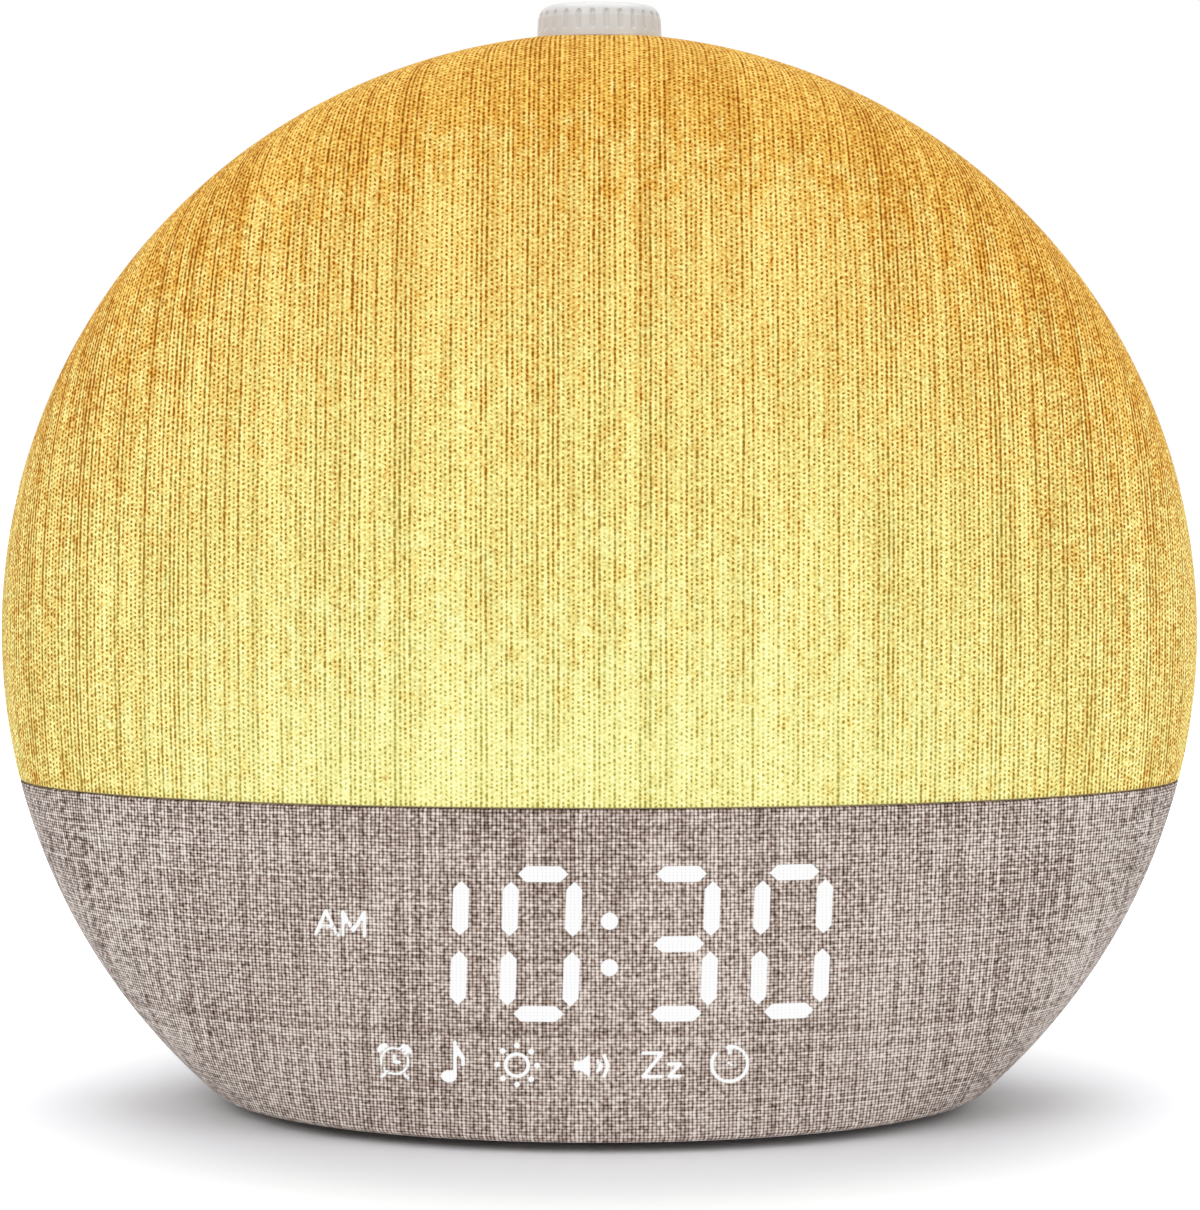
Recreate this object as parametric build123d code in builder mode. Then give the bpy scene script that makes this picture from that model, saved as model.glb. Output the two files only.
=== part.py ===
from build123d import *
import math
import os

# Sunrise alarm clock: a fabric-covered pebble on a flat base, with a lit dome above a clock base.
# Millimetres. +Z is up and -Y is the front. The origin is on the table under the middle of the body.

# Body outline: seen from the front it is a circle, cut off flat near the bottom.
body_radius = 95.0
body_depth = 85.5  # front to back through the circle's centre
base_width = 121.1  # side to side at the bottom edge
base_depth = 80.0  # front to back at the bottom edge
base_height = 50.7  # bottom edge of the fabric up to the seam between the two fabrics
foot_stand = 1.6  # bottom edge of the fabric above the table
crown_power = 0.36  # 0.5 makes the side outline an ellipse, less makes the crown fuller
crown_stop = 6.5  # half width at which the lofted forms end, inside the knob's recess
section_step = 15.0  # degrees of the outline circle between lofted sections

# Skins and shells
fabric_thickness = 0.8
skin_fit = 0.05  # between a skin and the shell under it
seam_gap = 0.4
edge_round = 1.2
edge_turn = 2.2  # fabric turned in under the bottom edge
diffuser_wall = 2.0
housing_wall = 2.2
panel_fit = 0.2  # round an insert in the housing wall
deck_thickness = 2.0

# Knob and rotary encoder
knob_radius = 9.85
knob_draft = 0.3
knob_stand = 4.5  # knob's top above the crown
knob_sink = 1.0  # knob's lower rim below the crown
knob_wall = 1.8
knob_top = 1.3
knob_round = 2.0
knob_groove_count = 27
knob_groove_radius = 0.36
knob_groove_low = 1.2  # plain band below each groove
knob_groove_length = 3.1
press_travel = 0.5
knob_gap = 0.35
collar_thickness = 1.0
collar_hole_fit = 0.1
recess_gap = 0.4  # round the knob
crown_boss_radius = 13.0
crown_boss_depth = 6.0
bushing_radius = 3.5
shaft_radius = 3.0
shaft_fit = 0.05
shaft_end_gap = 0.3  # shaft's end below the knob's ceiling
bushing_proud = 0.5  # above the nut
nut_height = 1.6
nut_radius = 5.6
encoder_size = 12.0
encoder_height = 5.5
encoder_corner = 0.6
encoder_floor = 1.0
plunger_radius = 2.0
plunger_height = 1.5
plunger_rest = 0.2  # left under the plunger when the knob is pressed
encoder_board_width = 22.0
encoder_board_depth = 18.0

# Light
led_board_width = 124.0
led_board_depth = 50.0
led_board_thickness = 1.6
reflector_thickness = 0.8
reflector_margin = 8.0
led_size = 3.0
led_height = 1.4
led_rings = ((50.0, 18.0, 16), (28.0, 9.0, 8))  # half width, half depth, lamps on the ring
led_hole_fit = 0.5
deck_screw_gap = 0.6  # round the screw heads on the deck
slot_fit = 0.6  # round a cable where it passes the deck

# Display
digit_places = (-25.5, -8.7, 11.85, 28.7)
digit_middle = 32.0  # height of the middle bars above the table
digit_width = 9.4  # between the centres of the upright bars
digit_step = 10.55  # between the centres of the level bars
digit_lean = 0.035  # shift to the right for each millimetre up
bar_width = 2.4
upright_length = 8.3
level_length = 7.5
colon_place = 1.5
colon_rise = 3.5
colon_radius = 1.3
window_left = -46.0
window_right = 40.0
window_low = 9.2
window_high = 46.4
window_round = 5.0
icon_height = 13.6
icon_places = (-30.75, -22.0, -12.3, -1.3, 9.6, 19.5)
icon_stroke = 0.55
clock_stroke = 0.4
clock_radius = 2.05
sun_radius = 1.7
sun_ray_circle = 3.0
sun_ray_radius = 0.47
timer_radius = 2.7
timer_gap = (100, 140)  # degrees between which the timer's ring is open
half_day_place = (-38.85, 34.5)
letter_height = 3.7
letter_width = 3.3
letter_gap = 0.85
light_box_wall = 1.5
light_box_depth = 14.8  # display board to the housing's inner face, behind the digits
light_box_margin = 1.0  # inside the display opening, so that the box backs the mask
board_thickness = 1.6
display_led_size = 2.0
display_led_height = 0.8

# Base
plate_rise = 0.3  # bottom plate above the bottom edge of the fabric
plate_thickness = 2.4
foot_inset = 8.0
foot_width = 5.0
foot_seat = 1.0
post_margin = 4.0  # from the middle of a screw post to the plate's edge
post_angles = (-18.5, 35.0)  # front and rear post, degrees round the plate
post_radius = 3.5
post_rib = 2.4
stand_off_radius = 2.5
screw_radius = 1.4
screw_fit = 0.05
screw_head_radius = 2.6
screw_head_height = 1.6
screw_length = 9.0
board_screw_length = 7.2
head_sink_fit = 0.2  # round a screw head in its sink
foot_screw_gap = 1.2  # round a screw head in the foot ring
small_screw_radius = 1.0
small_screw_head_radius = 1.9
small_screw_head_height = 1.2

# Rear panel
panel_width = 64.0
panel_low = 9.0
panel_high = 31.0
panel_round = 4.0
panel_proud = 0.2  # the panel stands this far inside the fabric's outer face
button_places = (-22.0, -11.5, -1.0, 9.5)
button_radius = 3.4
button_flange = 1.0
button_flange_height = 1.0
button_proud = 0.8
button_travel = 0.6
button_gap = 0.7  # flange to panel at rest, and stem to switch
button_fit = 0.08
button_edge = 0.6
button_stem_radius = 1.7
button_board_depth = 13.1  # front face of the button board to the housing's inner face
button_board_height = 10.0
panel_boss_radius = 1.6
panel_boss_gap = 0.8
switch_size = 5.0
switch_height = 3.2
jack_place = 23.0
jack_width = 9.0
jack_height = 11.0
jack_length = 14.0
jack_corner = 0.8
jack_hole_gap = 1.0  # round the socket in the rear panel
jack_socket_radius = 3.2
jack_socket_depth = 9.5
jack_pin_radius = 1.05

# Speaker
speaker_margin = 10.8  # speaker to the plate's edge
speaker_y = 3.0
speaker_radius = 19.5
speaker_gasket = 0.8
speaker_flange = 1.0
speaker_ring = 5.5
speaker_basket_radius = 15.0
speaker_basket_wall = 1.0
basket_depth = 9.0
basket_radius = 10.5
speaker_screw_bite = 1.2
speaker_screw_edge = 0.3  # screw head to the flange's edge
surround_width = 2.5
magnet_radius = 12.0
magnet_height = 7.0
magnet_edge = 0.5
cone_neck = 5.0
cone_wall = 0.5
cone_headroom = 2.5  # cone's top below the basket's top
grille_hole_radius = 1.2
grille_rings = ((4.5, 6), (9.0, 12), (13.0, 18))  # radius and count of the openings

# Main board
main_board_low = 12.9
main_board_margin = 17.8  # right edge to the plate's edge
main_board_width = 40.5
main_board_front_gap = 2.4  # behind the display board
main_board_depth = 41.0
main_board_tab_width = 18.0
main_board_tab_gap = 2.8  # tab's end to the housing's inner face
board_margin = 3.5
board_components = {  # place from the board's front left corner, width, depth and height
    "processor_chip": ((24.0, 14.0), 9.0, 9.0, 1.2),
    "radio_module": ((34.5, 17.0), 10.0, 15.0, 2.2),
    "amplifier_chip": ((22.0, 26.0), 5.0, 6.0, 1.3),
    "power_inductor": ((31.0, 31.0), 7.0, 7.0, 4.0),
}
cell_spot = (10.0, 16.5)
cell_radius = 6.25
cell_height = 2.0
cell_wall = 1.0
capacitor_spots = ((7.5, 28.5), (15.0, 28.5), (12.0, 36.5))
capacitor_radius = 3.1
capacitor_height = 8.0
capacitor_edge = 0.5
connector_width = 7.0
connector_depth = 5.0
connector_height = 6.0
connector_margin = 4.0  # from the board's front edge
cable_width = 6.0
cable_thickness = 0.8
cable_bend = 4.0
cable_tight_bend = 1.2
cable_wall_gap = 2.5  # knob cable to the diffuser
cable_guides = (0.8, 0.55, 0.3)  # shares of the dome's inside height at which the knob cable bends
deck_cable_gap = 0.3  # cables to the deck's underside
knob_cable_place = 8.0
light_cable_place = 19.0
display_cable_place = 28.0
display_cable_rise = 14.0  # above its connector
speaker_cable_width = 3.0
speaker_cable_rise = 15.2  # above the bottom plate

# Worked-out heights and insets
edge_drop = math.sqrt(body_radius**2 - (base_width / 2) ** 2)
centre_z = foot_stand + edge_drop
edge_z = foot_stand
seam_z = edge_z + base_height
crown_z = centre_z + body_radius
shell_inset = fabric_thickness + skin_fit
diffuser_inset = shell_inset + diffuser_wall
cavity_inset = shell_inset + housing_wall
deck_low = seam_z - deck_thickness / 2
deck_high = seam_z + deck_thickness / 2
rim_z = edge_z + fabric_thickness + skin_fit
plate_low = edge_z + plate_rise
plate_high = plate_low + plate_thickness
recess_radius = knob_radius + recess_gap
knob_low = crown_z - knob_sink
collar_high = knob_low - press_travel - knob_gap
collar_low = collar_high - collar_thickness
boss_low = crown_z - crown_boss_depth
knob_ceiling = crown_z + knob_stand - knob_top
reach = body_depth  # longer than any cut through one wall has to be

os.makedirs("parts", exist_ok=True)


def half_width(height, inset):
    """Half the body's width at a height, on a surface inset from the fabric's outer face."""
    return math.sqrt((body_radius - inset) ** 2 - (height - centre_z) ** 2)


def half_depth(height, inset):
    """Half the body's depth at a height, on a surface inset from the fabric's outer face."""
    rise = height - centre_z
    if rise < 0:
        return body_depth / 2 - inset - (body_depth - base_depth) / 2 * (rise / edge_drop) ** 2
    fall = 1 - (rise / (body_radius - inset)) ** 2
    return (body_depth / 2 - inset) * fall**crown_power


def wall_place(across, height, inset):
    """How far a surface of the body stands behind its middle plane, at a place across and a height."""
    return half_depth(height, inset) * math.sqrt(1 - (across / half_width(height, inset)) ** 2)


def crown_end(inset):
    """Height at which an inset form ends under the knob."""
    return centre_z + math.sqrt((body_radius - inset) ** 2 - crown_stop**2)


def wall_plane(place):
    """Upright plane across the body at a place along Y, with sketch axes X and Z, facing the front."""
    return Plane.XZ.offset(-place)


def form(low, high, inset):
    """Solid body between two heights: a loft through ellipses set by the outline circle."""
    radius = body_radius - inset
    start = math.asin((low - centre_z) / radius)
    stop = math.asin((high - centre_z) / radius)
    count = max(3, math.ceil((stop - start) / math.radians(section_step)))
    with BuildPart() as solid:
        for index in range(count + 1):
            height = centre_z + radius * math.sin(start + (stop - start) * index / count)
            with BuildSketch(Plane.XY.offset(height)):
                Ellipse(half_width(height, inset), half_depth(height, inset))
        loft()
    return solid.part


def save(builder, name):
    """Names a finished piece and writes its file."""
    builder.part.label = name
    export_step(builder.part, f"parts/{name}.step")


def screw_group(places, head_seat, length, name, up=True, small=False):
    """Identical screws with their heads seated at one height, pointing up or down."""
    turn = 1 if up else -1
    radius = small_screw_radius if small else screw_radius
    head_radius = small_screw_head_radius if small else screw_head_radius
    head_height = small_screw_head_height if small else screw_head_height
    with BuildPart() as screws:
        with BuildSketch(Plane.XY.offset(head_seat)):
            with Locations(*places):
                Circle(head_radius)
        extrude(amount=-turn * head_height)
        with BuildSketch(Plane.XY.offset(head_seat)):
            with Locations(*places):
                Circle(radius)
        extrude(amount=turn * length)
        with BuildSketch(Plane.XY.offset(head_seat - turn * head_height)):
            with Locations(*places):
                RegularPolygon(head_radius / 2, 6)
        extrude(amount=turn * head_height / 2, mode=Mode.SUBTRACT)
    save(screws, name)


def flat_cable(points, radii, plane, name, width=cable_width):
    """Flat cable swept along straight runs joined by arcs."""
    with BuildPart() as cable:
        with BuildLine() as route:
            FilletPolyline(*points, radius=radii)
        with BuildSketch(plane):
            Rectangle(width, cable_thickness)
        sweep(path=route.line)
    save(cable, name)


# Places that follow the outline of the bottom plate
plate_fit = cavity_inset + panel_fit
plate_half_width = half_width(plate_low, plate_fit)
plate_half_depth = half_depth(plate_low, plate_fit)
posts = [
    (
        side * (plate_half_width - post_margin) * math.cos(math.radians(angle)),
        (plate_half_depth - post_margin) * math.sin(math.radians(angle)),
    )
    for angle in post_angles
    for side in (-1, 1)
]
display_board_place = light_box_depth - half_depth(digit_middle, cavity_inset)
display_board_back = display_board_place + board_thickness
speaker_place = (speaker_margin + speaker_radius - plate_half_width, speaker_y)
main_board_right = plate_half_width - main_board_margin
main_board_left = main_board_right - main_board_width
main_board_front = display_board_back + main_board_front_gap
main_board_back = main_board_front + main_board_depth
main_board_high = main_board_low + board_thickness
connector_y = main_board_front + connector_margin
connector_top = main_board_high + connector_height
deck_cable_level = deck_low - deck_cable_gap - cable_thickness / 2

# Dome: woven sleeve over a moulded diffuser
dome_skin_space = form(seam_z - fabric_thickness, crown_end(fabric_thickness), fabric_thickness)
with BuildPart() as dome_fabric:
    add(form(seam_z + seam_gap / 2, crown_end(0), 0))
    add(dome_skin_space, mode=Mode.SUBTRACT)
    with BuildSketch(Plane.XY.offset(crown_z)):
        Circle(recess_radius)
    extrude(amount=-crown_boss_depth, mode=Mode.SUBTRACT)
save(dome_fabric, "dome_fabric")

with BuildPart() as light_space:
    add(form(deck_low, crown_end(diffuser_inset), diffuser_inset))
    with BuildSketch(Plane.XY.offset(boss_low)):
        Circle(crown_boss_radius)
    extrude(amount=crown_boss_depth, mode=Mode.SUBTRACT)

with BuildPart() as dome_diffuser:
    add(form(deck_high, crown_end(shell_inset), shell_inset))
    add(light_space.part, mode=Mode.SUBTRACT)
    with BuildSketch(Plane.XY.offset(crown_z)):
        Circle(recess_radius)
    extrude(amount=collar_low - crown_z, mode=Mode.SUBTRACT)
    with BuildSketch(Plane.XY.offset(collar_low)):
        Circle(bushing_radius + screw_fit)
    extrude(amount=-crown_boss_depth, mode=Mode.SUBTRACT)
save(dome_diffuser, "dome_diffuser")

# Knob, collar and encoder
with BuildPart() as knob_collar:
    with BuildSketch(Plane.XY.offset(collar_low)):
        Circle(recess_radius - collar_hole_fit)
        Circle(bushing_radius + collar_hole_fit, mode=Mode.SUBTRACT)
    extrude(amount=collar_thickness)
save(knob_collar, "knob_collar")

knob_height = knob_stand + knob_sink
shaft_high = knob_ceiling - shaft_end_gap
bushing_high = collar_high + nut_height + bushing_proud
knob_boss_low = bushing_high + press_travel + knob_gap
with BuildPart() as knob:
    with BuildSketch(Plane.XY.offset(knob_low)):
        Circle(knob_radius)
    with BuildSketch(Plane.XY.offset(knob_low + knob_height)):
        Circle(knob_radius - knob_draft)
    loft()
    fillet(knob.faces().sort_by(Axis.Z)[-1].edges(), knob_round)
    with BuildSketch(Plane.XY.offset(knob_low + knob_groove_low)):
        with PolarLocations(knob_radius - knob_draft / 4, knob_groove_count):
            Circle(knob_groove_radius)
    extrude(amount=knob_groove_length, mode=Mode.SUBTRACT)
    with BuildSketch(Plane.XY.offset(knob_low)):
        Circle(knob_radius - knob_wall)
        Circle(shaft_radius + knob_wall, mode=Mode.SUBTRACT)
    extrude(amount=knob_ceiling - knob_low, mode=Mode.SUBTRACT)
    with BuildSketch(Plane.XY.offset(knob_low)):
        Circle(shaft_radius + knob_wall)
    extrude(amount=knob_boss_low - knob_low, mode=Mode.SUBTRACT)
    with BuildSketch(Plane.XY.offset(knob_low)):
        Circle(shaft_radius + shaft_fit)
    extrude(amount=shaft_high + shaft_fit - knob_low, mode=Mode.SUBTRACT)
save(knob, "knob")

encoder_low = boss_low - encoder_height
chamber_low = encoder_low + encoder_floor
plunger_low = chamber_low + press_travel + plunger_rest
shaft_low = plunger_low + plunger_height + shaft_fit
with BuildPart() as encoder_shaft:
    with BuildSketch(Plane.XY.offset(shaft_low)):
        Circle(shaft_radius)
    extrude(amount=shaft_high - shaft_low)
save(encoder_shaft, "encoder_shaft")

with BuildPart() as switch_plunger:
    with BuildSketch(Plane.XY.offset(plunger_low)):
        Circle(plunger_radius)
    extrude(amount=plunger_height)
save(switch_plunger, "switch_plunger")

with BuildPart() as encoder_body:
    with BuildSketch(Plane.XY.offset(encoder_low)):
        RectangleRounded(encoder_size, encoder_size, encoder_corner)
    extrude(amount=encoder_height)
    with BuildSketch(Plane.XY.offset(boss_low)):
        Circle(bushing_radius)
    extrude(amount=bushing_high - boss_low)
    with BuildSketch(Plane.XY.offset(chamber_low)):
        Circle(shaft_radius + shaft_fit)
    extrude(amount=bushing_high - chamber_low, mode=Mode.SUBTRACT)
save(encoder_body, "encoder_body")

with BuildPart() as encoder_nut:
    with BuildSketch(Plane.XY.offset(collar_high)):
        RegularPolygon(nut_radius, 6)
        Circle(bushing_radius + shaft_fit, mode=Mode.SUBTRACT)
    extrude(amount=nut_height)
save(encoder_nut, "encoder_nut")

encoder_board_low = encoder_low - board_thickness
with BuildPart() as encoder_board:
    with BuildSketch(Plane.XY.offset(encoder_board_low)):
        RectangleRounded(encoder_board_width, encoder_board_depth, encoder_corner)
    extrude(amount=board_thickness)
save(encoder_board, "encoder_board")

# Knob cable: down the back of the dome, through the deck and forward under it to the main board
knob_cable_start = encoder_board_depth / 2 - cable_bend / 2
knob_cable_foot = half_depth(centre_z, diffuser_inset) - cable_wall_gap
dome_inside = encoder_board_low - deck_high
knob_cable_run = [
    (knob_cable_place, knob_cable_start, encoder_board_low),
    (knob_cable_place, knob_cable_start, encoder_board_low - 1.5 * cable_bend),
]
for share in cable_guides:
    level = deck_high + dome_inside * share
    knob_cable_run.append((knob_cable_place, half_depth(level, diffuser_inset) - cable_wall_gap, level))
knob_cable_run += [
    (knob_cable_place, knob_cable_foot, deck_high + 3 * cable_bend),
    (knob_cable_place, knob_cable_foot, deck_cable_level),
    (knob_cable_place, connector_y, deck_cable_level),
    (knob_cable_place, connector_y, connector_top),
]
flat_cable(
    knob_cable_run,
    [cable_bend] * 5 + [cable_tight_bend] * 2,
    Plane.XY.offset(encoder_board_low).move(Location((knob_cable_place, knob_cable_start, 0))),
    "knob_cable",
)

# Light deck, reflector, lamp board and lamps
light_cable_side = light_cable_place - cable_width / 2
led_board_edge = led_board_depth / 2 * math.sqrt(1 - (2 * light_cable_side / led_board_width) ** 2)
light_cable_slot = led_board_edge + 2 * cable_bend
with BuildPart() as light_deck:
    add(form(deck_low, deck_high, shell_inset))
    with BuildSketch(Plane.XY.offset(deck_low)):
        with Locations(*posts):
            Circle(screw_radius + screw_fit)
        with Locations((knob_cable_place, knob_cable_foot), (light_cable_place, light_cable_slot)):
            Rectangle(cable_width + 2 * slot_fit, cable_thickness + 2 * slot_fit)
    extrude(amount=deck_thickness, mode=Mode.SUBTRACT)
save(light_deck, "light_deck")

led_board_high = deck_high + led_board_thickness
led_spots = []
for ring_width, ring_depth, ring_count in led_rings:
    for index in range(ring_count):
        angle = 2 * math.pi * (index + 0.5) / ring_count
        led_spots.append((ring_width * math.cos(angle), ring_depth * math.sin(angle)))
deck_screw_room = screw_head_radius + deck_screw_gap

with BuildPart() as led_board:
    with BuildSketch(Plane.XY.offset(deck_high)):
        Ellipse(led_board_width / 2, led_board_depth / 2)
        with Locations(*posts):
            Circle(deck_screw_room, mode=Mode.SUBTRACT)
    extrude(amount=led_board_thickness)
save(led_board, "led_board")

with BuildPart() as reflector:
    with BuildSketch(Plane.XY.offset(led_board_high)):
        Ellipse(
            half_width(deck_high, diffuser_inset) - reflector_margin,
            half_depth(deck_high, diffuser_inset) - reflector_margin,
        )
        with Locations(*led_spots):
            Rectangle(led_size + led_hole_fit, led_size + led_hole_fit, mode=Mode.SUBTRACT)
        with Locations(*posts):
            Circle(deck_screw_room, mode=Mode.SUBTRACT)
    extrude(amount=reflector_thickness)
save(reflector, "reflector")

with BuildPart() as leds:
    with BuildSketch(Plane.XY.offset(led_board_high)):
        with Locations(*led_spots):
            Rectangle(led_size, led_size)
    extrude(amount=led_height)
save(leds, "leds")

light_cable_level = deck_high + led_board_thickness / 2
flat_cable(
    [
        (light_cable_place, led_board_edge, light_cable_level),
        (light_cable_place, light_cable_slot, light_cable_level),
        (light_cable_place, light_cable_slot, deck_cable_level),
        (light_cable_place, connector_y, deck_cable_level),
        (light_cable_place, connector_y, connector_top),
    ],
    cable_tight_bend,
    Plane(origin=(light_cable_place, led_board_edge, light_cable_level), x_dir=(1, 0, 0), z_dir=(0, 1, 0)),
    "light_cable",
)

# Base: woven sleeve over a moulded housing, with an opening for the display and one for the panel
base_wall = form(rim_z, deck_low, shell_inset) - form(
    rim_z - fabric_thickness, deck_high, cavity_inset
)
window_middle = ((window_left + window_right) / 2, (window_low + window_high) / 2)
window_size = (window_right - window_left, window_high - window_low)
panel_middle = (0, (panel_low + panel_high) / 2)
panel_size = (panel_width, panel_high - panel_low)

with BuildPart() as base_fabric:
    add(form(edge_z, seam_z - seam_gap / 2, 0))
    fillet(base_fabric.edges().group_by(Axis.Z)[0], edge_round)
    add(
        form(edge_z + fabric_thickness, seam_z + fabric_thickness, fabric_thickness),
        mode=Mode.SUBTRACT,
    )
    with BuildSketch(Plane.XY.offset(edge_z)):
        Ellipse(half_width(rim_z, shell_inset + edge_turn), half_depth(rim_z, shell_inset + edge_turn))
    extrude(amount=fabric_thickness, mode=Mode.SUBTRACT)
    with BuildSketch(wall_plane(0)):
        with Locations(panel_middle):
            RectangleRounded(*panel_size, panel_round)
    extrude(amount=-reach, mode=Mode.SUBTRACT)
save(base_fabric, "base_fabric")

with BuildPart() as base_space:
    add(form(edge_z, deck_high, cavity_inset))
    with BuildSketch(Plane.XY.offset(plate_high)):
        with Locations(*posts):
            Circle(post_radius)
        for x, y in posts:
            with Locations((x + math.copysign(body_radius / 2, x), y)):
                Rectangle(body_radius, post_rib)
    extrude(amount=deck_low - plate_high, mode=Mode.SUBTRACT)

with BuildPart() as base_housing:
    add(form(rim_z, deck_low, shell_inset))
    add(base_space.part, mode=Mode.SUBTRACT)
    with BuildSketch(Plane.XY.offset(plate_high)):
        with Locations(*posts):
            Circle(screw_radius + screw_fit)
    extrude(amount=deck_low - plate_high, mode=Mode.SUBTRACT)
    with BuildSketch(wall_plane(0)):
        with Locations(window_middle):
            RectangleRounded(*window_size, window_round)
    extrude(amount=reach, mode=Mode.SUBTRACT)
    with BuildSketch(wall_plane(0)):
        with Locations(panel_middle):
            RectangleRounded(*panel_size, panel_round)
    extrude(amount=-reach, mode=Mode.SUBTRACT)
save(base_housing, "base_housing")


def bar(place, height, length, upright):
    """One six-sided bar of a digit."""
    tip = length / 2
    shoulder = tip - bar_width / 2
    side = bar_width / 2
    outline = [(-tip, 0), (-shoulder, -side), (shoulder, -side), (tip, 0), (shoulder, side), (-shoulder, side)]
    if upright:
        outline = [(-z, x) for x, z in outline]
    leaning = [(place + x + digit_lean * (height + z - digit_middle), height + z) for x, z in outline]
    Polygon(*leaning, align=None)


def digit(place, bars):
    """Bars of one digit, named as on any seven-bar display."""
    side = digit_width / 2
    half = digit_step / 2
    spots = {
        "a": (place, digit_middle + digit_step, False),
        "b": (place + side, digit_middle + half, True),
        "c": (place + side, digit_middle - half, True),
        "d": (place, digit_middle - digit_step, False),
        "e": (place - side, digit_middle - half, True),
        "f": (place - side, digit_middle + half, True),
        "g": (place, digit_middle, False),
    }
    for name in bars:
        x, z, upright = spots[name]
        bar(x, z, upright_length if upright else level_length, upright)


def colon():
    """Two round dots between the hours and the minutes."""
    with Locations((colon_place, digit_middle + colon_rise), (colon_place, digit_middle - colon_rise)):
        Circle(colon_radius)


def stroke(*points):
    """Line of even width through the points, as a face."""
    for start, stop in zip(points, points[1:]):
        run = Vector(*stop) - Vector(*start)
        middle = (Vector(*stop) + Vector(*start)) * 0.5
        with Locations((middle.X, middle.Y)):
            SlotCenterToCenter(run.length, icon_stroke, rotation=math.degrees(math.atan2(run.Y, run.X)))


def ring(place, radius, width):
    """Round line of even width."""
    with Locations(place):
        Circle(radius + width / 2)
        Circle(radius - width / 2, mode=Mode.SUBTRACT)


def letters():
    """The half-day letters beside the hours."""
    x, z = half_day_place
    low = z - letter_height / 2
    high = z + letter_height / 2
    side = letter_width / 2
    left = x - (letter_width + letter_gap) / 2
    right = x + (letter_width + letter_gap) / 2
    bar_z = low + letter_height * 0.36
    bar_side = side * (high - bar_z) / letter_height
    valley = low + letter_height * 0.2
    stroke((left - side, low), (left, high), (left + side, low))
    stroke((left - bar_side, bar_z), (left + bar_side, bar_z))
    stroke((right - side, low), (right - side, high), (right, valley), (right + side, high), (right + side, low))


def alarm_icon(x):
    """Small bell clock: ring, hands, two domed bells and two legs."""
    for side in (-1, 1):
        with Locations((x + side * clock_radius * 0.86, icon_height + clock_radius * 0.92)):
            Ellipse(clock_radius * 0.5, clock_radius * 0.34, rotation=-side * 42)
        stroke(
            (x + side * clock_radius * 0.62, icon_height - clock_radius * 0.9),
            (x + side * clock_radius * 0.98, icon_height - clock_radius * 1.25),
        )
    with Locations((x, icon_height)):
        Circle(clock_radius + clock_stroke, mode=Mode.SUBTRACT)
    ring((x, icon_height), clock_radius, clock_stroke)
    stroke(
        (x, icon_height + clock_radius * 0.5),
        (x, icon_height - clock_radius * 0.08),
        (x + clock_radius * 0.36, icon_height - clock_radius * 0.08),
    )


def note_icon(x):
    """Quaver: round head, stem and a flag that widens down."""
    head = (x - 0.55, icon_height - 2.0)
    stem = x + 0.4
    top = icon_height + 3.3
    with Locations(head):
        Ellipse(1.2, 0.95)
    stroke((stem, head[1]), (stem, top))
    flag = ((0, 0), (0, -1.5), (0.95, -2.6), (0.95, -3.7), (1.5, -3.7), (1.5, -2.2))
    with Locations((stem, top)):
        Polygon(*flag, align=None)


def sun_icon(x):
    """Ring with eight dots round it."""
    ring((x, icon_height), sun_radius, icon_stroke)
    with Locations((x, icon_height)):
        with PolarLocations(sun_ray_circle, 8):
            Circle(sun_ray_radius)


def sound_icon(x):
    """Small loudspeaker with two sound waves."""
    horn = ((-2.5, -0.7), (-1.4, -0.7), (-0.1, -1.9), (-0.1, 1.9), (-1.4, 0.7), (-2.5, 0.7))
    with Locations((x, icon_height)):
        Polygon(*horn, align=None)
    for reach, rise in ((1.0, 0.8), (2.0, 1.6)):
        stroke(
            (x + reach, icon_height - rise), (x + reach + 0.6, icon_height), (x + reach, icon_height + rise)
        )


def sleep_icon(x):
    """A large and a small letter z."""
    for left, width, height in ((x - 3.1, 2.9, 3.6), (x + 0.8, 1.7, 1.9)):
        low = icon_height - 1.7
        high = low + height
        stroke((left, high), (left + width, high), (left, low), (left + width, low))


def timer_icon(x):
    """Ring with a gap, a mark at the top and a tapered hand."""
    near, far = (math.radians(angle) for angle in timer_gap)
    ring((x, icon_height), timer_radius, icon_stroke)
    gap_reach = timer_radius + icon_stroke
    middle = (near + far) / 2
    with Locations((x, icon_height)):
        Polygon(
            (0.5 * gap_reach * math.cos(middle), 0.5 * gap_reach * math.sin(middle)),
            (gap_reach * math.cos(near), gap_reach * math.sin(near)),
            (gap_reach * math.cos(far), gap_reach * math.sin(far)),
            align=None,
            mode=Mode.SUBTRACT,
        )
    stroke((x, icon_height + timer_radius), (x, icon_height + timer_radius * 0.55))
    with Locations((x, icon_height)):
        Polygon((-0.9, 0.75), (0.1, 0.35), (1.0, -0.7), (-0.05, -0.25), align=None)


def icons():
    """The row of signs under the digits and the letters beside them."""
    letters()
    signs = (alarm_icon, note_icon, sun_icon, sound_icon, sleep_icon, timer_icon)
    for sign, place in zip(signs, icon_places):
        sign(place)


lit_bars = ("bc", "abcdef", "abcdg", "abcdef")
dark_bars = ("adefg", "g", "ef", "g")

# Light guides: the wall's own thickness behind each bar and sign
with BuildPart() as lit_segments:
    with BuildSketch(wall_plane(0)):
        for place, bars in zip(digit_places, lit_bars):
            digit(place, bars)
        colon()
    extrude(amount=reach)
    add(base_wall, mode=Mode.INTERSECT)
save(lit_segments, "lit_segments")

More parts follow.
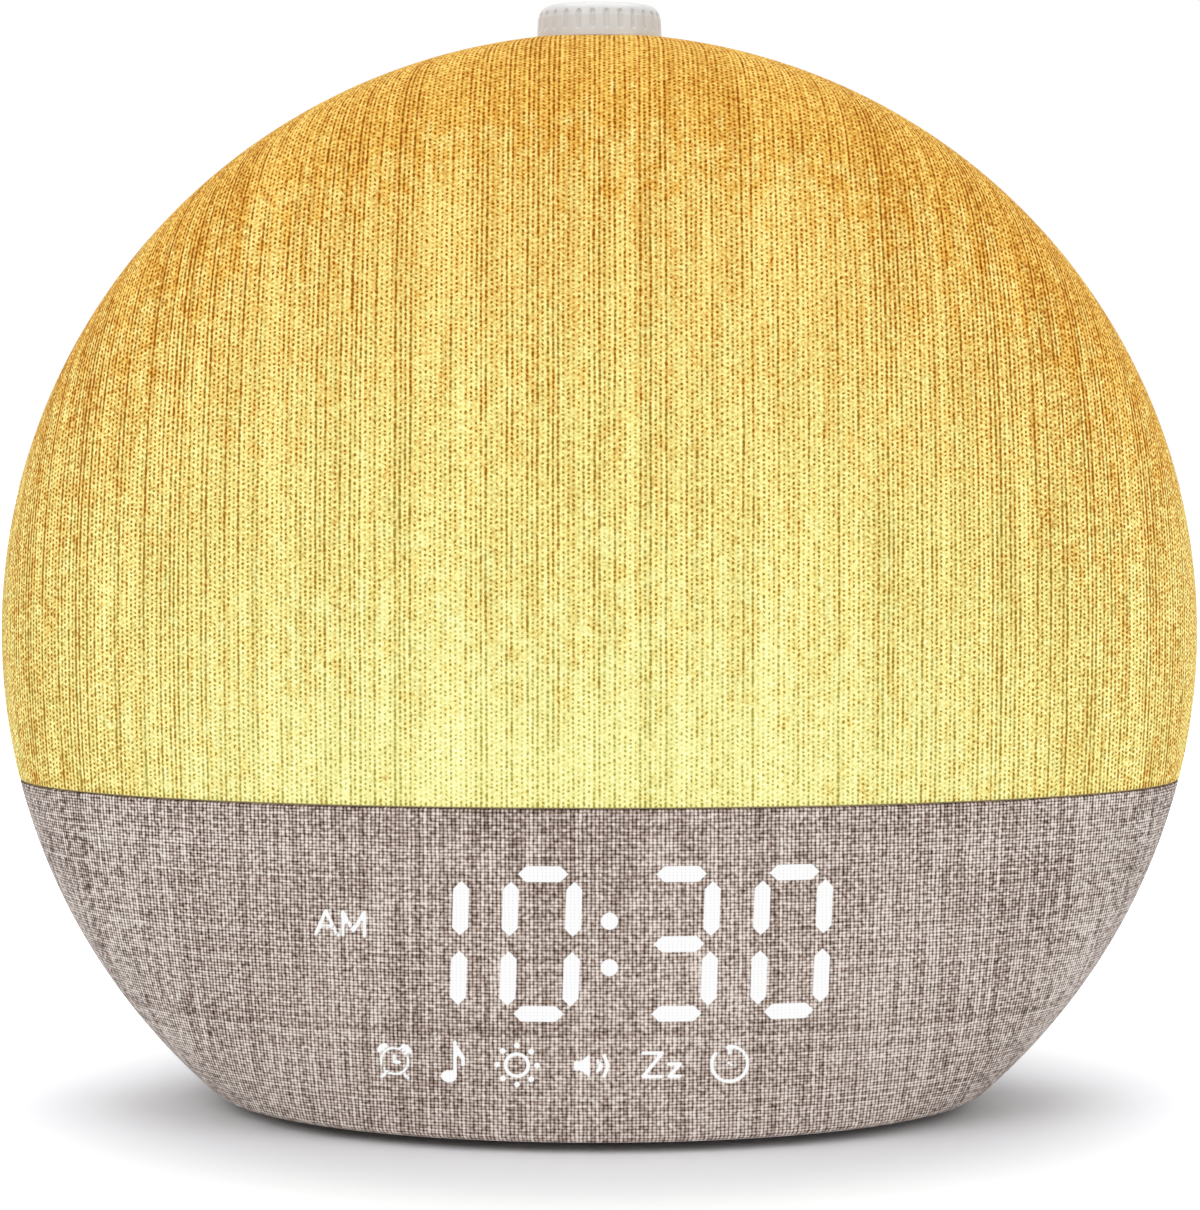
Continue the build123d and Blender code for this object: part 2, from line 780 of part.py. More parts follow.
with BuildPart() as dark_segments:
    with BuildSketch(wall_plane(0)):
        for place, bars in zip(digit_places, dark_bars):
            digit(place, bars)
    extrude(amount=reach)
    add(base_wall, mode=Mode.INTERSECT)
save(dark_segments, "dark_segments")

with BuildPart() as display_icons:
    with BuildSketch(wall_plane(0)):
        icons()
    extrude(amount=reach)
    add(base_wall, mode=Mode.INTERSECT)
save(display_icons, "display_icons")

# Mask: the insert in the front opening, cut through for every light guide
with BuildPart() as display_mask:
    with BuildSketch(wall_plane(0)):
        with Locations(window_middle):
            RectangleRounded(
                window_size[0] - 2 * panel_fit, window_size[1] - 2 * panel_fit, window_round - panel_fit
            )
    extrude(amount=reach)
    add(base_wall, mode=Mode.INTERSECT)
    for guides in (lit_segments, dark_segments, display_icons):
        add(guides.part, mode=Mode.SUBTRACT)
save(display_mask, "display_mask")

# Light box and display board behind the mask
box_inset = cavity_inset + skin_fit
box_size = tuple(size - 2 * light_box_margin for size in window_size)
with BuildPart() as light_box:
    with BuildSketch(wall_plane(display_board_place)):
        with Locations(window_middle):
            Rectangle(*box_size)
            Rectangle(box_size[0] - 2 * light_box_wall, box_size[1] - 2 * light_box_wall, mode=Mode.SUBTRACT)
    extrude(amount=reach)
    add(form(plate_high, deck_low, box_inset), mode=Mode.INTERSECT)
save(light_box, "light_box")

with BuildPart() as display_board:
    with BuildSketch(wall_plane(display_board_place)):
        with Locations(window_middle):
            Rectangle(*box_size)
    extrude(amount=-board_thickness)
save(display_board, "display_board")

display_led_spots = [
    (place + side, digit_middle + rise)
    for place in digit_places
    for side in (-digit_width / 2, digit_width / 2)
    for rise in (-digit_step / 2, digit_step / 2)
]
display_led_spots += [
    (place, digit_middle + rise) for place in digit_places for rise in (-digit_step, 0, digit_step)
]
display_led_spots += [(place, icon_height) for place in icon_places]
display_led_spots += [(colon_place, digit_middle), half_day_place]
with BuildPart() as display_leds:
    with BuildSketch(wall_plane(display_board_place)):
        with Locations(*display_led_spots):
            Rectangle(display_led_size, display_led_size)
    extrude(amount=display_led_height)
save(display_leds, "display_leds")

# Bottom plate with its foot ring, speaker openings and stand-offs
board_spots = [
    (x, y)
    for x in (main_board_left + board_margin, main_board_right - board_margin)
    for y in (main_board_front + board_margin, main_board_back - board_margin)
]
speaker_screw_circle = speaker_radius - small_screw_head_radius - speaker_screw_edge
speaker_spots = [
    (
        speaker_place[0] + speaker_screw_circle * math.cos(math.radians(45 + 90 * index)),
        speaker_place[1] + speaker_screw_circle * math.sin(math.radians(45 + 90 * index)),
    )
    for index in range(4)
]
foot_outer = (half_width(edge_z, foot_inset), half_depth(edge_z, foot_inset))
foot_inner = (foot_outer[0] - foot_width, foot_outer[1] - foot_width)

with BuildPart() as bottom_plate:
    with BuildSketch(Plane.XY.offset(plate_low)):
        Ellipse(plate_half_width, plate_half_depth)
    extrude(amount=plate_thickness)
    with BuildSketch(Plane.XY.offset(plate_high)):
        with Locations(*board_spots):
            Circle(stand_off_radius)
    extrude(amount=main_board_low - plate_high)
    with BuildSketch(Plane.XY.offset(plate_low)):
        with Locations(*posts):
            Circle(screw_radius + screw_fit)
        with Locations(speaker_place):
            Circle(grille_hole_radius)
            for grille_radius, grille_count in grille_rings:
                with PolarLocations(grille_radius, grille_count):
                    Circle(grille_hole_radius)
    extrude(amount=plate_thickness, mode=Mode.SUBTRACT)
    with BuildSketch(Plane.XY.offset(plate_low)):
        with Locations(*posts):
            Circle(screw_head_radius + head_sink_fit)
    extrude(amount=screw_head_height, mode=Mode.SUBTRACT)
    with BuildSketch(Plane.XY.offset(plate_low)):
        Ellipse(*foot_outer)
        Ellipse(*foot_inner, mode=Mode.SUBTRACT)
        with Locations(*posts):
            Circle(screw_head_radius + foot_screw_gap, mode=Mode.SUBTRACT)
    extrude(amount=foot_seat, mode=Mode.SUBTRACT)
    with BuildSketch(Plane.XY.offset(main_board_low)):
        with Locations(*board_spots):
            Circle(screw_radius + screw_fit)
    extrude(amount=plate_high - main_board_low, mode=Mode.SUBTRACT)
    with BuildSketch(Plane.XY.offset(plate_high)):
        with Locations(*speaker_spots):
            Circle(small_screw_radius + screw_fit)
    extrude(amount=-speaker_screw_bite, mode=Mode.SUBTRACT)
save(bottom_plate, "bottom_plate")

with BuildPart() as foot_ring:
    with BuildSketch(Plane.XY):
        Ellipse(*foot_outer)
        Ellipse(*foot_inner, mode=Mode.SUBTRACT)
        with Locations(*posts):
            Circle(screw_head_radius + foot_screw_gap, mode=Mode.SUBTRACT)
    extrude(amount=plate_low + foot_seat)
save(foot_ring, "foot_ring")

screw_group(posts, plate_low + screw_head_height, screw_length, "bottom_screws")
screw_group(posts, deck_high, screw_length, "deck_screws", up=False)

# Main board and what stands on it
jack_z = main_board_high + jack_height / 2
jack_out = wall_place(jack_place + jack_width / 2, main_board_high, cavity_inset)
main_board_tab = jack_out - main_board_tab_gap
with BuildPart() as main_board:
    with BuildSketch(Plane.XY.offset(main_board_low)):
        with Locations(
            ((main_board_left + main_board_right) / 2, (main_board_front + main_board_back) / 2)
        ):
            Rectangle(main_board_right - main_board_left, main_board_back - main_board_front)
        with Locations((jack_place, (main_board_back + main_board_tab) / 2)):
            Rectangle(main_board_tab_width, main_board_tab - main_board_back)
        with Locations(*board_spots):
            Circle(screw_radius + screw_fit, mode=Mode.SUBTRACT)
    extrude(amount=board_thickness)
save(main_board, "main_board")
screw_group(board_spots, main_board_high, board_screw_length, "board_screws", up=False)


def board_places(*places):
    """Places on the main board, given from its front left corner."""
    return [(main_board_left + x, main_board_front + y) for x, y in places]


def board_part(name, places, width, depth, height):
    """Rectangular components of one kind on the main board."""
    with BuildPart() as component:
        with BuildSketch(Plane.XY.offset(main_board_high)):
            with Locations(*places):
                Rectangle(width, depth)
        extrude(amount=height)
    save(component, name)


for name, (spot, width, depth, height) in board_components.items():
    board_part(name, board_places(spot), width, depth, height)
connector_places = (knob_cable_place, light_cable_place, display_cable_place)
connector_spots = [(x, connector_y) for x in connector_places]
board_part("board_connectors", connector_spots, connector_width, connector_depth, connector_height)

with BuildPart() as capacitors:
    with BuildSketch(Plane.XY.offset(main_board_high)):
        with Locations(*board_places(*capacitor_spots)):
            Circle(capacitor_radius)
    extrude(amount=capacitor_height)
    fillet(capacitors.faces().group_by(Axis.Z)[-1].edges(), capacitor_edge)
save(capacitors, "capacitors")

cell_place = board_places(cell_spot)[0]
with BuildPart() as cell_holder:
    with BuildSketch(Plane.XY.offset(main_board_high)):
        with Locations(cell_place):
            Circle(cell_radius + cell_wall)
    extrude(amount=cell_height + cell_wall)
    with BuildSketch(Plane.XY.offset(main_board_high + cell_wall)):
        with Locations(cell_place):
            Circle(cell_radius + shaft_fit)
    extrude(amount=cell_height, mode=Mode.SUBTRACT)
save(cell_holder, "cell_holder")

with BuildPart() as backup_cell:
    with BuildSketch(Plane.XY.offset(main_board_high + cell_wall)):
        with Locations(cell_place):
            Circle(cell_radius)
    extrude(amount=cell_height)
save(backup_cell, "backup_cell")

# Rear panel with four buttons and the power inlet
panel_skin = form(edge_z, seam_z, panel_proud) - form(edge_z, seam_z, cavity_inset)
button_z = jack_z
flange_z = button_z - button_radius - button_flange
button_board_place = half_depth(button_z, cavity_inset) - button_board_depth
switch_front = button_board_place + board_thickness
boss_reach = button_radius + button_flange + panel_boss_gap + panel_boss_radius
boss_spots = [(button_places[0] - boss_reach, button_z), (button_places[-1] + boss_reach, button_z)]

with BuildPart() as panel_bosses:
    with BuildSketch(wall_plane(switch_front)):
        with Locations(*boss_spots):
            Circle(panel_boss_radius)
    extrude(amount=-reach)
    add(form(edge_z, seam_z, cavity_inset), mode=Mode.INTERSECT)

with BuildPart() as rear_panel:
    with BuildSketch(wall_plane(0)):
        with Locations(panel_middle):
            RectangleRounded(
                panel_size[0] - 2 * panel_fit, panel_size[1] - 2 * panel_fit, panel_round - panel_fit
            )
        with Locations(*[(x, button_z) for x in button_places]):
            Circle(button_radius + button_fit, mode=Mode.SUBTRACT)
        with Locations((jack_place, jack_z)):
            Circle(jack_socket_radius + jack_hole_gap, mode=Mode.SUBTRACT)
    extrude(amount=-reach)
    add(panel_skin, mode=Mode.INTERSECT)
    add(panel_bosses.part)
save(rear_panel, "rear_panel")

button_names = ("alarm_button", "time_button", "sound_button", "sleep_button")
for name, place in zip(button_names, button_places):
    panel_out = wall_place(place, button_z, panel_proud)
    panel_in = wall_place(abs(place) + button_radius + button_flange, flange_z, cavity_inset)
    flange_out = panel_in - button_gap
    stem_high = flange_out - button_flange_height
    stem_low = switch_front + switch_height + button_gap
    with BuildPart() as button:
        with BuildSketch(wall_plane(flange_out)):
            with Locations((place, button_z)):
                Circle(button_radius + button_flange)
        extrude(amount=button_flange_height)
        with BuildSketch(wall_plane(flange_out)):
            with Locations((place, button_z)):
                Circle(button_radius)
        extrude(amount=-(panel_out + button_proud - flange_out))
        fillet(button.edges().group_by(Axis.Y)[-1], button_edge)
        with BuildSketch(wall_plane(stem_high)):
            with Locations((place, button_z)):
                Circle(button_stem_radius)
        extrude(amount=stem_high - stem_low)
    save(button, name)

button_board_width = boss_spots[-1][0] - boss_spots[0][0] + 2 * panel_boss_radius
with BuildPart() as button_board:
    with BuildSketch(wall_plane(button_board_place)):
        with Locations(((button_places[0] + button_places[-1]) / 2, button_z)):
            Rectangle(button_board_width, button_board_height)
    extrude(amount=-board_thickness)
save(button_board, "button_board")

with BuildPart() as button_switches:
    with BuildSketch(wall_plane(switch_front)):
        with Locations(*[(x, button_z) for x in button_places]):
            Rectangle(switch_size, switch_size)
    extrude(amount=-switch_height)
save(button_switches, "button_switches")

with BuildPart() as power_inlet:
    with BuildSketch(wall_plane(jack_out - skin_fit)):
        with Locations((jack_place, jack_z)):
            RectangleRounded(jack_width, jack_height, jack_corner)
    extrude(amount=jack_length)
    with BuildSketch(wall_plane(jack_out - skin_fit)):
        with Locations((jack_place, jack_z)):
            Circle(jack_socket_radius)
            Circle(jack_pin_radius, mode=Mode.SUBTRACT)
    extrude(amount=jack_socket_depth, mode=Mode.SUBTRACT)
save(power_inlet, "power_inlet")

# Speaker, facing down through the bottom plate
speaker_axis = Axis((speaker_place[0], speaker_place[1], 0), (0, 0, 1))
speaker_plane = Plane(
    origin=(speaker_place[0], speaker_place[1], plate_high), x_dir=(1, 0, 0), z_dir=(0, -1, 0)
)
flange_low = speaker_gasket
flange_high = flange_low + speaker_flange
basket_high = flange_high + basket_depth
speaker_mouth = speaker_radius - speaker_ring
cone_edge = speaker_mouth - surround_width
cone_high = basket_high - cone_headroom

with BuildPart() as speaker_gasket_ring:
    with BuildSketch(Plane.XY.offset(plate_high)):
        with Locations(speaker_place):
            Circle(speaker_radius)
            Circle(speaker_mouth, mode=Mode.SUBTRACT)
        with Locations(*speaker_spots):
            Circle(small_screw_radius + screw_fit, mode=Mode.SUBTRACT)
    extrude(amount=speaker_gasket)
save(speaker_gasket_ring, "speaker_gasket")

with BuildPart() as speaker_frame:
    with BuildSketch(speaker_plane):
        with BuildLine():
            Polyline(
                (speaker_mouth, flange_low),
                (speaker_radius, flange_low),
                (speaker_radius, flange_high),
                (speaker_basket_radius, flange_high),
                (basket_radius + speaker_basket_wall, basket_high),
                (0, basket_high),
                (0, basket_high - speaker_flange),
                (basket_radius, basket_high - speaker_flange),
                (speaker_mouth, flange_high),
                close=True,
            )
        make_face()
    revolve(axis=speaker_axis)
    with BuildSketch(Plane.XY.offset(plate_high + flange_low)):
        with Locations(*speaker_spots):
            Circle(small_screw_radius + screw_fit)
    extrude(amount=speaker_flange, mode=Mode.SUBTRACT)
save(speaker_frame, "speaker_frame")

with BuildPart() as speaker_cone:
    with BuildSketch(speaker_plane):
        with BuildLine():
            Polyline(
                (cone_edge, flange_low),
                (cone_edge, flange_low + cone_wall),
                (cone_neck, cone_high),
                (0, cone_high),
                (0, cone_high - cone_wall),
                (cone_neck - cone_wall, cone_high - cone_wall),
                close=True,
            )
        make_face()
    revolve(axis=speaker_axis)
save(speaker_cone, "speaker_cone")

with BuildPart() as speaker_surround:
    with BuildSketch(speaker_plane):
        with Locations((speaker_mouth - surround_width / 2, flange_low + speaker_flange / 2)):
            Rectangle(surround_width - 2 * skin_fit, speaker_flange)
    revolve(axis=speaker_axis)
save(speaker_surround, "speaker_surround")

with BuildPart() as speaker_magnet:
    with BuildSketch(Plane.XY.offset(plate_high + basket_high)):
        with Locations(speaker_place):
            Circle(magnet_radius)
    extrude(amount=magnet_height)
    chamfer(speaker_magnet.faces().sort_by(Axis.Z)[-1].edges(), magnet_edge)
save(speaker_magnet, "speaker_magnet")
screw_group(
    speaker_spots,
    plate_high + flange_high,
    flange_high + speaker_screw_bite,
    "speaker_screws",
    up=False,
    small=True,
)

# Cables inside the base
display_cable_top = connector_top + display_cable_rise
flat_cable(
    [
        (display_cable_place, display_board_back, display_cable_top),
        (display_cable_place, connector_y, display_cable_top),
        (display_cable_place, connector_y, connector_top),
    ],
    cable_tight_bend,
    Plane(
        origin=(display_cable_place, display_board_back, display_cable_top), x_dir=(1, 0, 0), z_dir=(0, 1, 0)
    ),
    "display_cable",
)

speaker_cable_start = speaker_place[0] + (speaker_basket_radius + speaker_radius) / 2
speaker_cable_stop = main_board_left + 2 * cable_thickness
speaker_cable_low = plate_high + flange_high
speaker_cable_top = plate_high + speaker_cable_rise
flat_cable(
    [
        (speaker_cable_start, speaker_y, speaker_cable_low),
        (speaker_cable_start, speaker_y, speaker_cable_top),
        (speaker_cable_stop, speaker_y, speaker_cable_top),
        (speaker_cable_stop, speaker_y, main_board_high),
    ],
    cable_tight_bend,
    Plane(origin=(speaker_cable_start, speaker_y, speaker_cable_low), x_dir=(0, 1, 0), z_dir=(0, 0, 1)),
    "speaker_cable",
    width=speaker_cable_width,
)
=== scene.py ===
import math
import bmesh
import bpy
import numpy as np
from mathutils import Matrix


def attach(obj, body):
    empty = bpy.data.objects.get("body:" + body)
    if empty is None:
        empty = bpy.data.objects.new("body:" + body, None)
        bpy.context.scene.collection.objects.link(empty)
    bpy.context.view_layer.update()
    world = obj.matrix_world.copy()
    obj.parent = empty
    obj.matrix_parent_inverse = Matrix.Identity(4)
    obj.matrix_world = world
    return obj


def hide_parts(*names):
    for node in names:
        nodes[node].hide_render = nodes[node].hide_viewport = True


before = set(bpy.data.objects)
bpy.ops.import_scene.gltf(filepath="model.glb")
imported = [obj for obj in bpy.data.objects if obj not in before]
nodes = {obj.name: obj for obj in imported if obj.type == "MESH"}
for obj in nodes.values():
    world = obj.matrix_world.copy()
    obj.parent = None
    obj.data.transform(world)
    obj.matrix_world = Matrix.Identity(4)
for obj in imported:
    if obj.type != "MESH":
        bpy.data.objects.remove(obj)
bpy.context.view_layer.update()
mm = 0.001
print("frame loaded with", len(nodes), "nodes")


def toLinear(hexColour):
    # sRGB hex to the linear colour that the shaders work in
    channels = [int(hexColour[i:i + 2], 16) / 255 for i in (1, 3, 5)]
    return tuple(c / 12.92 if c <= 0.04045 else ((c + 0.055) / 1.055) ** 2.4 for c in channels) + (1.0,)


modeNames = {
    "Math": "operation", "VectorMath": "operation",
    "MapRange": "interpolation_type", "Mix": "data_type",
}


def addNode(tree, kind, *inputs, **settings):
    # one node with its settings, and the links or values of its sockets, in order or by name;
    # a second word in kind is its mode, and a node given as an input stands for its first output
    kind, _, mode = kind.partition(" ")
    node = tree.nodes.new("ShaderNode" + kind)
    if mode:
        settings[modeNames[kind]] = mode
    for name, value in settings.items():
        if name == "stops":
            stops = node.color_ramp.elements
            while len(stops) < len(value):
                stops.new(0.5)
            for element, (place, colour) in zip(stops, value):
                element.position = place
                element.color = toLinear(colour)
        else:
            setattr(node, name, value)
    named = inputs[0] if inputs and isinstance(inputs[0], dict) else dict(enumerate(inputs))
    for name, value in named.items():
        if isinstance(value, bpy.types.Node):
            value = value.outputs[0]
        if isinstance(value, bpy.types.NodeSocket):
            tree.links.new(value, node.inputs[name])
        else:
            node.inputs[name].default_value = value
    return node


def newMaterial(name):
    # an empty material with its shader and output, ready for a pattern
    material = bpy.data.materials.new(name)
    material.use_nodes = True
    tree = material.node_tree
    tree.nodes.clear()
    shader = addNode(tree, "BsdfPrincipled")
    addNode(tree, "OutputMaterial", {"Surface": shader})
    return material, tree, shader


# shape of the body, in millimetres until a mesh is made
body = {
    "radius": 95.0,         # outline circle seen from the front
    "depth": 85.5,          # front to back through the circle's centre
    "baseDepth": 80.0,      # front to back at the bottom edge
    "centreZ": 74.803,
    "edgeZ": 1.6,
    "seamZ": 52.3,
    "crownPower": 0.36,
    "knobRecess": 10.25,
}


def halfWidth(z, inset=0.0):
    # half the width at a height: the outline circle's half chord
    return np.sqrt(np.maximum((body["radius"] - inset) ** 2 - (z - body["centreZ"]) ** 2, 1e-9))


def halfDepth(z, inset=0.0):
    # half the depth at a height: a parabola below the centre, a power of the circle's fall above it
    rise = z - body["centreZ"]
    drop = body["centreZ"] - body["edgeZ"]
    below = body["depth"] / 2 - inset - (body["depth"] - body["baseDepth"]) / 2 * (rise / drop) ** 2
    fall = np.maximum(1 - (rise / (body["radius"] - inset)) ** 2, 1e-9)
    above = (body["depth"] / 2 - inset) * fall ** body["crownPower"]
    return np.where(rise < 0, below, above)


def bodyPoints(turn, z, inset=0.0):
    # a point on the level ellipse at a height; turn is 0 at the front and grows towards +X
    across, along = halfWidth(z, inset) * np.sin(turn), -halfDepth(z, inset) * np.cos(turn)
    return np.stack([across, along, z + 0 * turn], -1)


def threadPlace(turn, z):
    # how far round the cloth from the nearer of front and back centre, and how far up its middle profile
    fine = np.linspace(0, np.pi / 2, 181)
    width, depth = halfWidth(z)[..., None], halfDepth(z)[..., None]
    step = np.sqrt((width * np.cos(fine)) ** 2 + (depth * np.sin(fine)) ** 2)
    passed = np.cumsum((step[..., 1:] + step[..., :-1]) / 2, -1)
    length = np.concatenate([np.zeros(step.shape[:-1] + (1,)), passed], -1) * fine[1]
    folded = np.abs(np.arcsin(np.clip(np.sin(turn), -1, 1)))
    place = folded / fine[1]
    low = np.clip(place.astype(int), 0, len(fine) - 2)
    share = place - low
    pick = np.take_along_axis(length, low[..., None], -1)[..., 0]
    after = np.take_along_axis(length, low[..., None] + 1, -1)[..., 0]
    around = (pick + (after - pick) * share) * np.sign(np.sin(turn))
    heights = np.linspace(body["edgeZ"] - 2, body["centreZ"] + body["radius"] - 0.01, 800)
    profile = np.stack([heights, halfDepth(heights)], -1)
    climb = np.concatenate([[0], np.cumsum(np.linalg.norm(np.diff(profile, axis=0), axis=1))])
    return np.stack([around, np.interp(z, heights, climb), 0 * z], -1)


def buildSurface(name, blocks, weld=0.01):
    # each block is a grid of points joined into quads; edges of blocks that meet are welded
    points, quads, extras, start = [], [], {}, 0
    for block in blocks:
        grid = block["points"]
        rows, columns = grid.shape[:2]
        index = start + np.arange(rows * columns).reshape(rows, columns)
        if block.get("closed"):
            index = np.column_stack([index, index[:, 0]])
        faces = np.stack([index[:-1, :-1], index[:-1, 1:], index[1:, 1:], index[1:, :-1]], -1)
        if "keep" in block:
            faces = faces[block["keep"]]
        points.append(grid.reshape(-1, 3))
        quads.append(faces.reshape(-1, 4))
        for key, values in block.get("extras", {}).items():
            extras.setdefault(key, []).append(values.reshape(rows * columns, -1))
        start += rows * columns
    allPoints = np.concatenate(points) * mm
    mesh = bpy.data.meshes.new(name)
    mesh.from_pydata(allPoints, [], np.concatenate(quads))
    for key, values in extras.items():
        joined = np.concatenate(values).astype(np.float32)
        wide = joined.shape[1] == 3
        layer = mesh.attributes.new(key, "FLOAT_VECTOR" if wide else "FLOAT", "POINT")
        layer.data.foreach_set("vector" if wide else "value", joined.ravel())
    shape = bmesh.new()
    shape.from_mesh(mesh)
    loose = [v for v in shape.verts if not v.link_faces]
    bmesh.ops.delete(shape, geom=loose, context="VERTS")
    bmesh.ops.remove_doubles(shape, verts=shape.verts, dist=weld * mm)
    shape.to_mesh(mesh)
    shape.free()
    mesh.polygons.foreach_set("use_smooth", np.ones(len(mesh.polygons), bool))
    piece = bpy.data.objects.new(name, mesh)
    bpy.context.scene.collection.objects.link(piece)
    return piece


def thicken(piece, thickness):
    # gives a cloth surface its thickness, inwards
    wall = piece.modifiers.new("clothThickness", "SOLIDIFY")
    wall.thickness = thickness * mm
    wall.offset = -1
    wall.use_even_offset = True


# dome sleeve
domeCloth = {
    "columns": 340,
    "rows": 116,
    "thickness": 0.45,
    "hemRound": 0.3,        # radius of the turned lower edge
    "seamGap": 0.14,
    "hemTuck": 0.75,        # how far the turned edge goes in
    "lip": ((0.18, 0.04), (0.04, 0.16), (0.0, 0.35), (0.0, 0.9)),    # reach and drop beside the knob
    "lipClimb": (0.2, 0.4, 0.6, 1.1),       # way along the cloth at each of those
    "lipRoom": 0.3,         # where the cloth starts to turn, outside the recess
    "crowding": 0.28,       # more columns at the tight ends of the ellipse
    "flat": (0.452, 0.165),     # widest girth, and the way up the wider side with its hems, in metres
    "area": 0.0495,
}

domeGlow = {
    "deck": 1.0, "perMillimetre": 0.0079,
    "ends": (0.15, 0.24),   # fall towards the ends, by the square and the fourth power of the place across
    "lowEnds": 0.19,        # more of it just above the deck
    "lowReach": 30.0,
    "side": 0.03,           # the right is a little weaker
    # crown: painted shadow of the knob's parts inside, darkening the glow at the top
    "crown": 0.20, "crownLow": 142.0, "crownHigh": 166.0,
    "least": -0.3,          # the weave's own variation still shows below 0
}


def makeDomeSleeve():
    # the body's level ellipses, by turn and by the angle up the outline circle, from the seam to the knob's
    # recess, with a turned hem below and a lip above
    values = domeCloth
    turn = np.linspace(-np.pi / 2, 1.5 * np.pi, values["columns"], endpoint=False)
    turn = turn - values["crowding"] * np.sin(2 * turn)
    radius = body["radius"]
    low = body["seamZ"] + values["seamGap"] / 2
    startAngle = math.asin((low + values["hemRound"] - body["centreZ"]) / radius)
    # the angle on the outline circle at which each column meets the knob's recess, by halving
    near, far = np.full(turn.shape, 1.2), np.full(turn.shape, np.pi / 2 - 1e-4)
    for _ in range(40):
        middle = (near + far) / 2
        spot = bodyPoints(turn, body["centreZ"] + radius * np.sin(middle))
        outside = np.hypot(spot[:, 0], spot[:, 1]) > body["knobRecess"] + values["lipRoom"]
        near, far = np.where(outside, middle, near), np.where(outside, far, middle)
    share = np.linspace(0, 1, values["rows"])[:, None]
    angle = startAngle + (near[None, :] - startAngle) * share
    turns = np.broadcast_to(turn, angle.shape)
    heights = body["centreZ"] + radius * np.sin(angle)
    main = bodyPoints(turns, heights)
    # lower hem: a quarter round that turns inwards, then a short tuck
    bend = np.linspace(np.pi / 2, 0, 6)[:-1]
    hemZ = np.concatenate([[low], low + values["hemRound"] * (1 - np.sin(bend))])
    hemInset = np.concatenate([[values["hemTuck"]], values["hemRound"] * (1 - np.cos(bend))])
    order = np.argsort(-hemInset)
    hem = np.stack([bodyPoints(turn, np.full(turn.shape, hemZ[i]), hemInset[i]) for i in order])
    hemTurns, hemHeights = np.broadcast_to(turn, hem.shape[:2]), hem[..., 2]
    # upper lip: round over and down into the recess
    top = main[-1]
    outward = top[:, :2] / np.linalg.norm(top[:, :2], axis=1)[:, None]
    lip = []
    for reach, drop in values["lip"]:
        flatPlace = outward * (body["knobRecess"] + reach)
        lip.append(np.column_stack([flatPlace, top[:, 2] - drop + 0.05 * reach]))
    lip = np.stack(lip)
    points = np.concatenate([hem, main, lip])
    lipPlace = np.repeat(threadPlace(turns[-1:], heights[-1:]), len(lip), 0)
    lipPlace[..., 1] += np.array(values["lipClimb"])[:, None]
    place = np.concatenate([threadPlace(hemTurns, hemHeights), threadPlace(turns, heights), lipPlace])
    extras = {"threadPlace": place, "glowLevel": glowLevel(points)}
    piece = buildSurface("dome_sleeve", [{"points": points, "closed": True, "extras": extras}])
    thicken(piece, values["thickness"])
    return piece


def glowLevel(points):
    # painted glow standing in for the lamps inside: brightest just above the lamp deck, falling with height,
    # towards the ends and under the knob, where the parts inside cast a painted shadow
    values = domeGlow
    z = points[..., 2]
    across = np.clip(points[..., 0] / halfWidth(z), -1, 1)
    rise = z - body["seamZ"]
    low = np.clip(1 - rise / values["lowReach"], 0, 1)
    crown = np.clip((z - values["crownLow"]) / (values["crownHigh"] - values["crownLow"]), 0, 1)
    fall = (values["ends"][0] + values["lowEnds"] * low) * across ** 2 + values["ends"][1] * across ** 4
    level = values["deck"] - values["perMillimetre"] * rise - fall
    level = level - values["side"] * across - values["crown"] * crown ** 2
    return np.clip(level, values["least"], 1)[..., None]


# base sleeve
baseCloth = {
    "thickness": 0.45,
    "hemRound": 0.3,
    "edgeRound": 1.2,
    "tuck": 2.6,            # how far the cloth turns in under the base
    "windowStep": 0.46,     # column spacing across the display
    "markRoom": 0.18,       # least room between a bar's corner and the line before it
    "windowHalf": 46.0,
    "signs": (10.6, 18.0),  # heights between which the signs lie
    "digits": (20.6, 44.0),
    "windowRow": 0.36,      # row spacing across the signs
    "digitRow": 0.5,
    "gapRow": 1.0,
    "plainStep": 1.6,
    "holeMargin": 2.0,      # plain frame of cloth round the rear opening
    "holeColumns": 58,
    "holeTurn": (0.12, 0.14),   # how far the cloth turns in at the rear opening, at each depth
    "holeDepth": (0.2, 0.7),
    "endTuck": 0.8,
    "farOff": 5.0,          # distance given to points away from the display
    "flat": (0.440, 0.066),     # girth at the seam, and the way up the wider side with its hems, in metres
    "area": 0.0215,
}
rearHole = {"halfWidth": 32.0, "low": 9.0, "high": 31.0, "round": 4.0}


